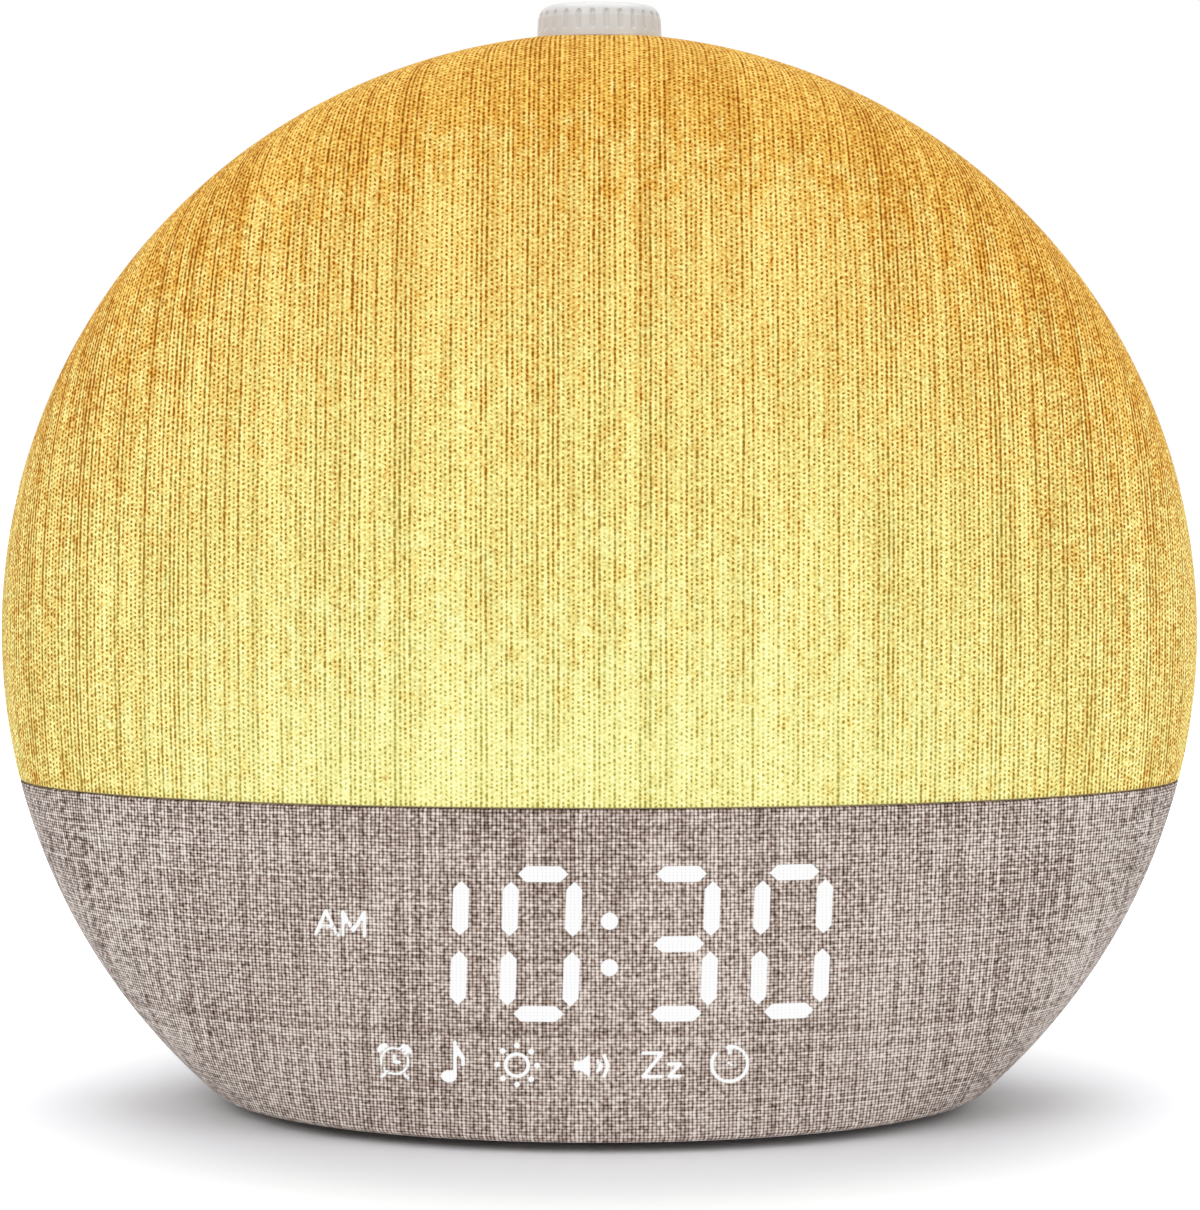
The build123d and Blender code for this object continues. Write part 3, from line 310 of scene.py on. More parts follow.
def litDistance(points):
    # signed distance in the front view from the outlines of the light guides, below 0 inside them
    flat = points[..., [0, 2]].reshape(-1, 2)
    front = points[..., 1].reshape(-1) < 0
    near = np.flatnonzero(front & (np.abs(flat[:, 0]) < baseCloth["windowHalf"] + 2) & (flat[:, 1] < 50))
    spots = flat[near]
    distance, inside = np.full(len(spots), baseCloth["farOff"]), np.zeros(len(spots), bool)
    for name in ("lit_segments", "display_icons"):
        mesh = nodes[name].data
        place = np.zeros(len(mesh.vertices) * 3)
        mesh.vertices.foreach_get("co", place)
        place = place.reshape(-1, 3) / mm
        mesh.calc_loop_triangles()
        corner = np.zeros(len(mesh.loop_triangles) * 3, int)
        mesh.loop_triangles.foreach_get("vertices", corner)
        triangles = place[corner.reshape(-1, 3)]
        normal = np.cross(triangles[:, 1] - triangles[:, 0], triangles[:, 2] - triangles[:, 0])
        normal /= np.linalg.norm(normal, axis=1)[:, None] + 1e-12
        walls = triangles[np.abs(normal[:, 1]) < 0.02][:, :, [0, 2]]
        caps = triangles[normal[:, 1] < -0.3][:, :, [0, 2]]
        # longest side of each wall triangle, seen from the front, is a piece of the outline
        sides = walls - np.roll(walls, 1, 1)
        longest = np.argmax(np.linalg.norm(sides, axis=2), 1)
        row = np.arange(len(walls))
        stop, begin = walls[row, longest], np.roll(walls, 1, 1)[row, longest]
        # a few at a time, to keep the arrays small
        batch = 200
        for first in range(0, len(begin), batch):
            a, b = begin[first:first + batch], stop[first:first + batch]
            run = b - a
            along = np.clip(((spots[:, None] - a) * run).sum(-1) / (np.sum(run ** 2, -1) + 1e-9), 0, 1)
            away = np.linalg.norm(spots[:, None] - a - along[..., None] * run, axis=-1)
            distance = np.minimum(distance, away.min(1))
        for first in range(0, len(caps), batch):
            a, b, c = (caps[first:first + batch, k] for k in range(3))
            turns = []
            for p, q in ((a, b), (b, c), (c, a)):
                edge, away = q - p, spots[:, None] - p
                turns.append(edge[:, 0] * away[..., 1] - edge[:, 1] * away[..., 0])
            turns = np.stack(turns)
            inside |= (np.all(turns >= -1e-6, 0) | np.all(turns <= 1e-6, 0)).any(1)
    result = np.full(len(flat), baseCloth["farOff"])
    result[near] = np.where(inside, -distance, distance)
    return result.reshape(points.shape[:-1] + (1,))


def barCorners(axis):
    # places along X or Z of the corners of the lit bars, seen from the front
    mesh = nodes["lit_segments"].data
    place = np.zeros(len(mesh.vertices) * 3)
    mesh.vertices.foreach_get("co", place)
    return np.unique(np.round(place.reshape(-1, 3)[:, axis] / mm, 2))


def linesThrough(low, high, step, marks):
    # grid lines from low to high, no more than a step apart, with one at each mark that has room
    kept = [low]
    for mark in marks:
        if kept[-1] + baseCloth["markRoom"] < mark < high - baseCloth["markRoom"]:
            kept.append(mark)
    kept.append(high)
    runs = [np.linspace(a, b, math.ceil((b - a) / step) + 1)[:-1] for a, b in zip(kept, kept[1:])]
    return np.concatenate(runs + [[high]])


def makeBaseSleeve():
    # the body's level ellipses, by turn and height, from the tucked lower edge up to the seam, with an opening
    # at the back whose outline is a rounded rectangle
    values, hole = baseCloth, rearHole
    margin = values["holeMargin"]
    holeSide, holeLow, holeHigh = hole["halfWidth"] + margin, hole["low"] - margin, hole["high"] + margin
    top = body["seamZ"] - domeCloth["seamGap"] / 2
    straightLow, straightHigh = body["edgeZ"] + values["edgeRound"], top - values["hemRound"]
    (signLow, signHigh), (digitLow, digitHigh) = values["signs"], values["digits"]
    plain, columns = values["plainStep"], values["holeColumns"]
    spans = (
        (straightLow, holeLow, plain), (holeLow, signLow, plain), (signLow, signHigh, values["windowRow"]),
        (signHigh, digitLow, values["gapRow"]), (digitLow, holeHigh, values["digitRow"]),
        (holeHigh, digitHigh, values["digitRow"]), (digitHigh, straightHigh, plain),
    )
    levelMarks = barCorners(2)
    rows = np.unique(np.concatenate([linesThrough(*span, levelMarks) for span in spans]).round(6))
    across = linesThrough(-values["windowHalf"], values["windowHalf"], values["windowStep"], barCorners(0))

    def columnsAt(z, inset):
        # turn angle of every column at a height: level with X across the display and the rear panel
        width = halfWidth(z, inset)
        front, back = across[-1], holeSide + 4
        beside = np.linspace(back, holeSide, 4)[:-1]
        behind = np.concatenate([beside, np.linspace(holeSide, -holeSide, columns), -beside[::-1]])
        ease = np.linspace(0, 1, 26)[1:-1]
        frontAngle, backAngle = np.arcsin(front / width), np.arcsin(back / width)
        return np.concatenate([
            [-np.pi / 2], -np.pi / 2 + (np.pi / 2 - frontAngle) * ease,
            np.arcsin(across / width),
            frontAngle + (np.pi / 2 - frontAngle) * ease, [np.pi / 2],
            np.pi / 2 + (np.pi / 2 - backAngle) * ease,
            np.pi - np.arcsin(behind / width),
            np.pi + backAngle + (np.pi / 2 - backAngle) * ease,
        ])

    def level(z, inset):
        turn = columnsAt(z, inset)
        return turn, bodyPoints(turn, np.full(turn.shape, z), inset)

    # lower edge: tucked flat under the base, then rounded up into the wall
    roundness = values["edgeRound"]
    levels = [(body["edgeZ"], roundness + values["tuck"]), (body["edgeZ"], roundness + values["tuck"] / 2)]
    for angle in np.linspace(0, np.pi / 2, 8)[:-1]:
        rise, inset = roundness * (1 - math.cos(angle)), roundness * (1 - math.sin(angle))
        levels.append((body["edgeZ"] + rise, inset))
    levels += [(z, 0.0) for z in rows]
    for angle in np.linspace(0, np.pi / 2, 6)[1:]:
        rise, inset = values["hemRound"] * math.sin(angle), values["hemRound"] * (1 - math.cos(angle))
        levels.append((straightHigh + rise, inset))
    levels.append((top, values["endTuck"]))
    turns, points = (np.stack(part) for part in zip(*[level(z, inset) for z, inset in levels]))
    heights = np.broadcast_to(np.array([z for z, _ in levels])[:, None], turns.shape)
    closedPoints = np.concatenate([points, points[:, :1]], 1)
    middle = (closedPoints[:-1, :-1] + closedPoints[1:, 1:]) / 2
    inHole = (
        (middle[..., 1] > 0) & (np.abs(middle[..., 0]) < holeSide)
        & (middle[..., 2] > holeLow) & (middle[..., 2] < holeHigh)
    )
    extras = {"threadPlace": threadPlace(turns, heights), "litDistance": litDistance(points)}
    blocks = [{"points": points, "closed": True, "keep": ~inHole, "extras": extras}]
    # frame of cloth between that rectangular gap and the rounded opening round the panel
    zLine = np.array([z for z, inset in levels if inset == 0 and holeLow - 1e-6 <= z <= holeHigh + 1e-6])
    xLine = np.linspace(holeSide, -holeSide, columns)
    rim = np.concatenate([
        np.column_stack([xLine, np.full(columns, holeLow)]),
        np.column_stack([np.full(len(zLine) - 2, -holeSide), zLine[1:-1]]),
        np.column_stack([xLine[::-1], np.full(columns, holeHigh)]),
        np.column_stack([np.full(len(zLine) - 2, holeSide), zLine[1:-1][::-1]]),
    ])
    coreX = hole["halfWidth"] - hole["round"]
    coreLow, coreHigh = hole["low"] + hole["round"], hole["high"] - hole["round"]
    core = np.column_stack([np.clip(rim[:, 0], -coreX, coreX), np.clip(rim[:, 1], coreLow, coreHigh)])
    outward = rim - core
    outward /= np.linalg.norm(outward, axis=1)[:, None]
    outline = core + outward * hole["round"]
    rings = [(rim, 0.0), (rim + (outline - rim) * 0.5, 0.0), (outline, 0.0)]
    for turned, depth in zip(values["holeTurn"], values["holeDepth"]):
        rings.append((outline - outward * turned, depth))
    grid = []
    for line, inset in rings:
        x, z = line[:, 0], line[:, 1]
        depth = halfDepth(z, inset) * np.sqrt(1 - (x / halfWidth(z, inset)) ** 2)
        grid.append(np.column_stack([x, depth, z]))
    grid = np.stack(grid)
    gridTurn = np.pi - np.arcsin(grid[..., 0] / halfWidth(grid[..., 2]))
    extras = {
        "threadPlace": threadPlace(gridTurn, grid[..., 2]),
        "litDistance": np.full(grid.shape[:2] + (1,), values["farOff"]),
    }
    blocks.append({"points": grid, "closed": True, "extras": extras})
    piece = buildSurface("base_sleeve", blocks)
    thicken(piece, values["thickness"])
    return piece


# knob
knobShape = {
    "radius": 9.85,
    "draft": 0.3,
    "low": 168.803,
    "high": 174.303,
    "round": 2.0,
    "grooves": 27,
    "grooveDepth": 0.42,
    "grooveShare": 0.36,    # of the pitch
    "grooveLow": 1.2,       # plain band under each groove
    "grooveHigh": 1.2,      # plain band over it
    "grooveColumns": 18,    # columns for each groove and the land beside it
    "wall": 1.8,
    "roof": 2.2,            # thickness of the top
    "footRound": 0.35,
    "dish": 0.25,
    "axisHole": 0.02,       # too small to see; it is welded shut
}


def makeKnob():
    # a profile turned round the upright axis, with grooves whose depth falls off as a half ellipse
    values = knobShape
    low, high, edge, foot = values["low"], values["high"], values["round"], values["footRound"]
    # profile from the inner foot, down round the rim, up the side, over the top edge to the middle
    inner = values["radius"] - values["wall"]
    side = np.linspace(low + foot, high - edge, 34)
    bend = np.linspace(0, np.pi / 2, 22)[1:]
    topRadius = values["radius"] - values["draft"] - edge
    roll = np.linspace(np.pi / 2, 0, 5)[:-1]
    profile = np.concatenate([
        [[values["axisHole"], high - values["roof"]]],
        [[inner, high - values["roof"]], [inner, low + 0.2], [inner + 0.2, low]],
        np.column_stack([values["radius"] - foot * (1 - np.cos(roll)), low + foot * (1 - np.sin(roll))]),
        np.column_stack([values["radius"] - values["draft"] * (side - low) / (high - low), side]),
        np.column_stack([topRadius + edge * np.cos(bend), high - edge + edge * np.sin(bend)]),
    ])
    shares = np.linspace(1, 0, 10)[1:-1]
    top = np.column_stack([topRadius * shares, high - values["dish"] * (1 - shares ** 2)])
    profile = np.concatenate([profile, top, [[values["axisHole"], high - values["dish"]]]])
    count = values["grooves"] * values["grooveColumns"]
    turn = np.linspace(0, 2 * np.pi, count, endpoint=False)
    # each groove is a round-bottomed slot with round ends
    wave = np.abs((turn * values["grooves"] / (2 * np.pi)) % 1 - 0.5) / (values["grooveShare"] / 2)
    z, r = profile[:, 1][:, None], profile[:, 0][:, None]
    grooveLow, grooveHigh = low + values["grooveLow"], high - values["grooveHigh"]
    halfGroove = values["grooveShare"] / 2 * 2 * np.pi * values["radius"] / values["grooves"]
    over = np.maximum(np.maximum(grooveLow + halfGroove - z, z - grooveHigh + halfGroove), 0) / halfGroove
    reach = np.sqrt(wave ** 2 + over ** 2)
    cut = np.sqrt(np.clip(1 - reach ** 2, 0, 1)) * values["grooveDepth"]
    onSide = (r > values["radius"] - values["round"]) & (z > low + 0.3)
    radius = r - cut * onSide
    points = np.stack([radius * np.sin(turn), -radius * np.cos(turn), z + 0 * turn], -1)
    return buildSurface("turning_knob", [{"points": points, "closed": True}], weld=0.03)


# materials
def clothCoordinates(tree):
    # place along the cloth in millimetres, and a seed that differs between front and back
    place = addNode(tree, "Attribute", attribute_name="threadPlace").outputs["Vector"]
    here = addNode(tree, "TexCoord").outputs["Object"]
    around, up, _ = addNode(tree, "SeparateXYZ", place).outputs
    _, along, height = addNode(tree, "SeparateXYZ", here).outputs
    return {
        "around": around, "up": up,
        "side": addNode(tree, "Math MULTIPLY", along, 30.0),
        "height": addNode(tree, "Math DIVIDE", height, mm),
    }


def spread(tree, cloth, across, along, seed, detail=1.0):
    # noise in cloth millimetres, drawn out by unequal frequencies along its two ways
    vector = addNode(
        tree, "CombineXYZ",
        addNode(tree, "Math MULTIPLY", cloth["around"], across),
        addNode(tree, "Math MULTIPLY", cloth["up"], along),
        addNode(tree, "Math ADD", cloth["side"], seed),
    )
    return addNode(tree, "TexNoise", {"Vector": vector, "Scale": 1.0, "Detail": detail})


def chance(tree, index, seed, other=0.0):
    # one random number for each thread, or for each crossing of two
    return addNode(tree, "TexWhiteNoise", addNode(tree, "CombineXYZ", index, other, seed))


def mixIn(tree, total, *layers):
    # adds layers that lie around one half, each by its amount, without moving the mean
    for layer, amount in layers:
        centred = addNode(tree, "Math MULTIPLY_ADD", layer, amount, -amount / 2)
        total = addNode(tree, "Math ADD", total, centred)
    return total


def openAtEnds(tree, cloth, level, middle, amount):
    # cloth pulled round the tight ends of the body shows its threads and holes more strongly
    place = addNode(tree, "Math DIVIDE", cloth["around"], body["radius"])
    gain = addNode(tree, "Math MULTIPLY_ADD", addNode(tree, "Math MULTIPLY", place, place), amount, 1.0)
    return addNode(tree, "Math MULTIPLY_ADD", addNode(tree, "Math SUBTRACT", level, middle), gain, middle)


def offCentre(tree, value):
    # how far a count of threads is from the nearest whole one
    whole = addNode(tree, "Math ROUND", value)
    return addNode(tree, "Math ABSOLUTE", addNode(tree, "Math SUBTRACT", value, whole))


def threadCount(tree, place, pitch, drift, wander):
    # how many threads lie before a place, with threads that wander from side to side
    aside = addNode(tree, "Math MULTIPLY_ADD", drift, wander, -wander / 2)
    return addNode(tree, "Math ADD", addNode(tree, "Math DIVIDE", place, pitch), aside)


def threadRound(tree, count):
    # 1 along the middle of each thread, 0 between two
    wave = addNode(tree, "Math SINE", addNode(tree, "Math MULTIPLY", count, math.pi))
    return addNode(tree, "Math ABSOLUTE", wave)


taupeCloth = {
    "warpPitch": 0.61, "weftPitch": 0.47, "wander": 0.5,
    # least height of a thread, how much threads differ, and each direction's share of the whole
    "warpThread": (0.62, 0.30, 0.54), "weftThread": (0.56, 0.26, 0.56),
    "over": 0.16,           # how much a thread rises where it passes over another
    "roundness": 0.7,
    # colours from pin-hole to thread top: the taupe yarn, with painted shade in the pin-holes and a painted
    # highlight on the thread tops
    "stops": [(0.16, "#2A1F1A"), (0.36, "#78665C"), (0.55, "#B09B90"), (0.72, "#DECFC5"), (0.90, "#FBF2EA")],
    "middle": 0.53, "endContrast": 0.45,
    "topShade": 0.10,       # the turned upper edge lies a little in shadow
    "lit": "#FFFFFF", "litStrength": 1.0,
    "litEdge": 0.08,        # half the soft edge of a lit mark, in millimetres
    "litLow": 0.76, "litRise": 0.22,    # light that passes beside the threads, and what they add
}


def makeTaupeCloth():
    # woven polyester, taupe coloured in the yarn: dull, slightly uneven threads with dark pin-holes between
    # them; the dark of the pin-holes and the pale of the thread tops are painted shade and highlight
    values, black = taupeCloth, (0, 0, 0, 1)
    material, tree, shader = newMaterial("wovenPolyesterTaupe")
    cloth = clothCoordinates(tree)
    warpDrift, weftDrift = spread(tree, cloth, 0.9, 0.22, 1.0), spread(tree, cloth, 0.16, 0.9, 2.0)
    warp = threadCount(tree, cloth["around"], values["warpPitch"], warpDrift, values["wander"])
    weft = threadCount(tree, cloth["up"], values["weftPitch"], weftDrift, values["wander"])
    warpIndex, weftIndex = addNode(tree, "Math FLOOR", warp), addNode(tree, "Math FLOOR", weft)
    # threads are highest along their middles; every second crossing has the weft on top
    parity = addNode(tree, "Math FLOORED_MODULO", addNode(tree, "Math ADD", warpIndex, weftIndex), 2.0)
    high = 0.0
    for count, index, seed, over, thread in (
        (warp, warpIndex, 3.0, values["over"], values["warpThread"]),
        (weft, weftIndex, 8.0, -values["over"], values["weftThread"]),
    ):
        least, uneven, share = thread
        crown = addNode(tree, "Math POWER", threadRound(tree, count), values["roundness"])
        thick = addNode(tree, "Math MULTIPLY_ADD", chance(tree, index, seed), uneven, least)
        thick = addNode(tree, "Math MULTIPLY_ADD", parity, over, thick)
        high = addNode(tree, "Math MULTIPLY_ADD", addNode(tree, "Math MULTIPLY", crown, thick), share, high)
    level = mixIn(
        tree, high,
        (spread(tree, cloth, 0.8, 0.12, 5.0, 2.0), 0.30), (spread(tree, cloth, 1.4, 1.6, 7.0, 2.0), 0.95),
        (spread(tree, cloth, 0.06, 0.05, 9.0, 2.0), 0.16), (chance(tree, warpIndex, 15.0, weftIndex), 0.08),
    )
    level = openAtEnds(tree, cloth, level, values["middle"], values["endContrast"])
    seam = body["seamZ"] - domeCloth["seamGap"] / 2
    height, most = cloth["height"], values["topShade"]
    shade = addNode(tree, "MapRange SMOOTHSTEP", height, seam - 1.0, seam - 0.1, 0.0, most)
    level = addNode(tree, "Math SUBTRACT", level, shade)
    bump = addNode(tree, "Bump", {"Height": level, "Strength": 0.5, "Distance": 0.00012})
    # marks shine through the cloth, a little weaker between its threads
    lit = addNode(tree, "Attribute", attribute_name="litDistance").outputs["Fac"]
    mask = addNode(tree, "MapRange SMOOTHSTEP", lit, values["litEdge"], -values["litEdge"])
    threads = addNode(tree, "MapRange SMOOTHSTEP", high, 0.10, 0.50)
    shine = addNode(tree, "Math MULTIPLY_ADD", threads, values["litRise"], values["litLow"])
    passed = addNode(tree, "Math MULTIPLY", mask, shine)
    glow = addNode(tree, "Mix RGBA", {0: passed, 6: black, 7: toLinear(values["lit"])}).outputs[2]
    # taupe yarn colour by thread height, with painted shade in the pin-holes and a painted highlight on the
    # thread tops
    taupeWithWeaveShade = addNode(tree, "ValToRGB", level, stops=values["stops"])
    base = addNode(tree, "Mix RGBA", {0: mask, 6: taupeWithWeaveShade, 7: black}).outputs[2]
    tree.links.new(base, shader.inputs["Base Color"])
    tree.links.new(bump.outputs[0], shader.inputs["Normal"])
    tree.links.new(glow, shader.inputs["Emission Color"])
    shader.inputs["Emission Strength"].default_value = values["litStrength"]
    shader.inputs["Roughness"].default_value = 0.85
    shader.inputs["Sheen Weight"].default_value = 0.1
    shader.inputs["Specular IOR Level"].default_value = 0.2
    return material


glowCloth = {
    "warpPitch": 0.76, "dotPitch": 0.70, "wander": 0.5, "stray": 1.6,
    # colours from pin-hole to thread top, each row at one level of the glow, from crown to lamp deck
    "tones": (
        (0.08, [(0.0, "#8C4600"), (0.2, "#B66F11"), (0.5, "#E1A642"), (0.75, "#FCD56C"), (1.0, "#FFE888")]),
        (0.32, [(0.0, "#94540A"), (0.2, "#BB862D"), (0.5, "#ECC468"), (0.75, "#FDEF8F"), (1.0, "#FFFBAE")]),
        (0.64, [(0.0, "#96742A"), (0.2, "#BE9D49"), (0.5, "#EFDD82"), (0.75, "#FEFAA0"), (1.0, "#FFFFBE")]),
        (0.95, [(0.0, "#A8A04A"), (0.2, "#D3CE79"), (0.5, "#F5F19F"), (0.75, "#FFFEB4"), (1.0, "#FFFFD8")]),
    ),
    "threadLevel": 0.66, "holeDepth": 1.05, "endContrast": 0.5,
    # hem: a dim olive glow colour for the turned hem, and hemShade: how much the thread gaps just over it
    # darken; both are painted shade at the seam
    "hem": "#94845C", "hemShade": 0.30,
    "unlit": "#271A04", "strength": 1.0,
}


def makeGlowCloth():
    # woven polyester over a lit diffuser: pale threads with rows of darker pin-holes between them
    values = glowCloth
    material, tree, shader = newMaterial("wovenPolyesterLit")
    cloth = clothCoordinates(tree)
    glow = addNode(tree, "Attribute", attribute_name="glowLevel").outputs["Fac"]
    drift = spread(tree, cloth, 0.5, 0.05, 1.0)
    warp = threadCount(tree, cloth["around"], values["warpPitch"], drift, values["wander"])
    gapIndex, threadIndex = addNode(tree, "Math ROUND", warp), addNode(tree, "Math FLOOR", warp)
    line = addNode(tree, "MapRange SMOOTHSTEP", offCentre(tree, warp), 0.38, 0.06)
    # pin-holes stand half a pitch apart in neighbouring gaps
    stray = addNode(tree, "Math MULTIPLY", spread(tree, cloth, 1.1, 0.6, 27.0, 2.0), values["stray"])
    shift = addNode(tree, "Math MULTIPLY_ADD", gapIndex, 0.5, stray)
    holes = addNode(tree, "Math ADD", addNode(tree, "Math DIVIDE", cloth["up"], values["dotPitch"]), shift)
    dot = addNode(tree, "MapRange SMOOTHSTEP", offCentre(tree, holes), 0.40, 0.08)
    column = addNode(
        tree, "CombineXYZ",
        addNode(tree, "Math MULTIPLY", gapIndex, 7.31),
        addNode(tree, "Math MULTIPLY", cloth["up"], 0.07), cloth["side"],
    )
    along = addNode(tree, "TexNoise", {"Vector": column, "Scale": 1.0, "Detail": 2.0})
    slack = mixIn(tree, along, (chance(tree, gapIndex, 21.0), 0.7))
    openGap = addNode(tree, "MapRange SMOOTHSTEP", slack, 0.25, 0.85)
    # a hole is as dark as its gap is open, by its own chance; open gaps are also dark between holes
    deep = addNode(tree, "Math MULTIPLY_ADD", openGap, 0.40, 0.60)
    between = addNode(tree, "Math MULTIPLY_ADD", openGap, 0.40, 0.05)
    holeRound = addNode(tree, "Math MAXIMUM", dot, between)
    holeIndex = addNode(tree, "Math ROUND", holes)
    own = addNode(tree, "Math MULTIPLY_ADD", chance(tree, gapIndex, 41.0, holeIndex), 0.8, 0.45)
    dark = line
    for share in (deep, holeRound, own):
        dark = addNode(tree, "Math MULTIPLY", dark, share)
    dark = addNode(tree, "Math MINIMUM", dark, 1.0)
    level = addNode(tree, "Math MULTIPLY_ADD", dark, -values["holeDepth"], values["threadLevel"])
    level = mixIn(
        tree, level,
        (chance(tree, threadIndex, 31.0), 0.12), (spread(tree, cloth, 1.7, 1.9, 7.0, 2.0), 1.15),
        (spread(tree, cloth, 0.30, 0.04, 13.0, 2.0), 0.30),
    )
    level = openAtEnds(tree, cloth, level, values["threadLevel"], values["endContrast"])
    # a row of short dark marks in the thread gaps just over the turned hem: painted shade along the seam
    seam = body["seamZ"] + domeCloth["seamGap"] / 2
    seamGapShade = addNode(tree, "MapRange SMOOTHSTEP", offCentre(tree, warp), 0.40, 0.10)
    height, most = cloth["height"], values["hemShade"]
    nearHem = addNode(tree, "MapRange SMOOTHSTEP", height, seam + 0.9, seam + 0.4, 0.0, most)
    level = addNode(tree, "Math SUBTRACT", level, addNode(tree, "Math MULTIPLY", seamGapShade, nearHem))
    # colour by level, mixed from one row of tones to the next as the glow grows
    warmth = mixIn(
        tree, glow,
        (spread(tree, cloth, 0.9, 0.10, 17.0, 2.0), 0.50), (spread(tree, cloth, 0.45, 0.32, 23.0, 2.0), 0.65),
    )
    (lowest, first), *rest = values["tones"]
    colour = addNode(tree, "ValToRGB", level, stops=first)
    for place, stops in rest:
        grown = addNode(tree, "MapRange SMOOTHSTEP", warmth, lowest, place)
        tone = addNode(tree, "ValToRGB", level, stops=stops)
        colour = addNode(tree, "Mix RGBA", {0: grown, 6: colour, 7: tone}).outputs[2]
        lowest = place
    # the turned hem takes a dim olive glow colour: painted shade at the seam
    hem = addNode(tree, "MapRange SMOOTHSTEP", height, seam + 0.24, seam + 0.04)
    colour = addNode(tree, "Mix RGBA", {0: hem, 6: colour, 7: toLinear(values["hem"])}).outputs[2]
    bump = addNode(tree, "Bump", {"Height": level, "Strength": 0.4, "Distance": 0.00012})
    tree.links.new(colour, shader.inputs["Emission Color"])
    tree.links.new(bump.outputs[0], shader.inputs["Normal"])
    shader.inputs["Base Color"].default_value = toLinear(values["unlit"])
    shader.inputs["Emission Strength"].default_value = values["strength"]
    shader.inputs["Roughness"].default_value = 0.9
    shader.inputs["Specular IOR Level"].default_value = 0.1
    return material


def darkened(colour, share):
    # a linear colour at a share of its brightness
    return tuple(c * share for c in colour[:3]) + (1.0,)


def makeGrainedPlastic(name, colour, roughness, grain=0.35, scatter=0.0, strength=0.12):
    # moulded plastic: even colour with a fine spark-eroded grain, in millimetres, that breaks up its shine
    material, tree, shader = newMaterial(name)
    here = addNode(tree, "TexCoord").outputs["Object"]
    fine = addNode(tree, "TexNoise", {"Vector": here, "Scale": 1000.0 / grain, "Detail": 3.0})
    broad = addNode(tree, "TexNoise", {"Vector": here, "Scale": 60.0, "Detail": 2.0})
    base = toLinear(colour)
    shade = addNode(tree, "Mix RGBA", {0: broad, 6: darkened(base, 0.9), 7: base})
    rough = addNode(tree, "MapRange", fine, 0.0, 1.0, roughness - 0.08, roughness + 0.08)
    bump = addNode(tree, "Bump", {"Height": fine, "Strength": strength, "Distance": 0.00005})
    tree.links.new(shade.outputs[2], shader.inputs["Base Color"])
    tree.links.new(rough.outputs[0], shader.inputs["Roughness"])
    tree.links.new(bump.outputs[0], shader.inputs["Normal"])
    shader.inputs["IOR"].default_value = 1.5
    shader.inputs["Subsurface Weight"].default_value = scatter
    shader.inputs["Subsurface Scale"].default_value = 0.002
    return material


def makeMetal(name, colour, roughness, brush=0.0):
    # plated or bare metal: tight reflections, broken by fine scratches along one way
    material, tree, shader = newMaterial(name)
    here = addNode(tree, "TexCoord").outputs["Object"]
    stretched = addNode(tree, "Mapping", {"Vector": here, "Scale": (1.0, 1.0, 1.0 - 0.9 * brush)})
    scratch = addNode(tree, "TexNoise", {"Vector": stretched, "Scale": 2500.0, "Detail": 3.0})
    rough = addNode(tree, "MapRange", scratch, 0.0, 1.0, roughness - 0.07, roughness + 0.12)
    base = toLinear(colour)
    shade = addNode(tree, "Mix RGBA", {0: scratch, 6: darkened(base, 0.85), 7: base})
    tree.links.new(shade.outputs[2], shader.inputs["Base Color"])
    tree.links.new(rough.outputs[0], shader.inputs["Roughness"])
    shader.inputs["Metallic"].default_value = 1.0
    return material


def makeBoard(name, mask, track, pitch=1.27):
    # glass-fibre board: lacquer over copper tracks that run square to each other; pitch in millimetres
    material, tree, shader = newMaterial(name)
    here = addNode(tree, "TexCoord").outputs["Object"]
    lacquer = toLinear(mask)
    tracks = addNode(tree, "TexBrick", {
        "Vector": here, "Scale": 1000.0 / pitch / 4,
        "Mortar Size": 0.05, "Brick Width": 2.0, "Row Height": 1.0,
        "Color1": lacquer, "Color2": lacquer, "Mortar": toLinear(track),
    }, offset=0.5)
    speck = addNode(tree, "TexNoise", {"Vector": here, "Scale": 800.0})
    bump = addNode(tree, "Bump", {"Height": speck, "Strength": 0.1, "Distance": 0.00005})
    tree.links.new(tracks.outputs["Color"], shader.inputs["Base Color"])
    tree.links.new(bump.outputs[0], shader.inputs["Normal"])
    shader.inputs["Roughness"].default_value = 0.35
    shader.inputs["Coat Weight"].default_value = 0.3
    return material


def makeLit(name, colour, strength):
    # clear or phosphor-filled resin with light inside, a little brighter in patches
    material, tree, shader = newMaterial(name)
    here = addNode(tree, "TexCoord").outputs["Object"]
    cloud = addNode(tree, "TexNoise", {"Vector": here, "Scale": 400.0, "Detail": 2.0})
    base = toLinear(colour)
    shade = addNode(tree, "Mix RGBA", {0: cloud, 6: darkened(base, 0.8), 7: base})
    tree.links.new(shade.outputs[2], shader.inputs["Base Color"])
    tree.links.new(shade.outputs[2], shader.inputs["Emission Color"])
    shader.inputs["Emission Strength"].default_value = strength
    shader.inputs["Roughness"].default_value = 0.3
    shader.inputs["IOR"].default_value = 1.49
    return material


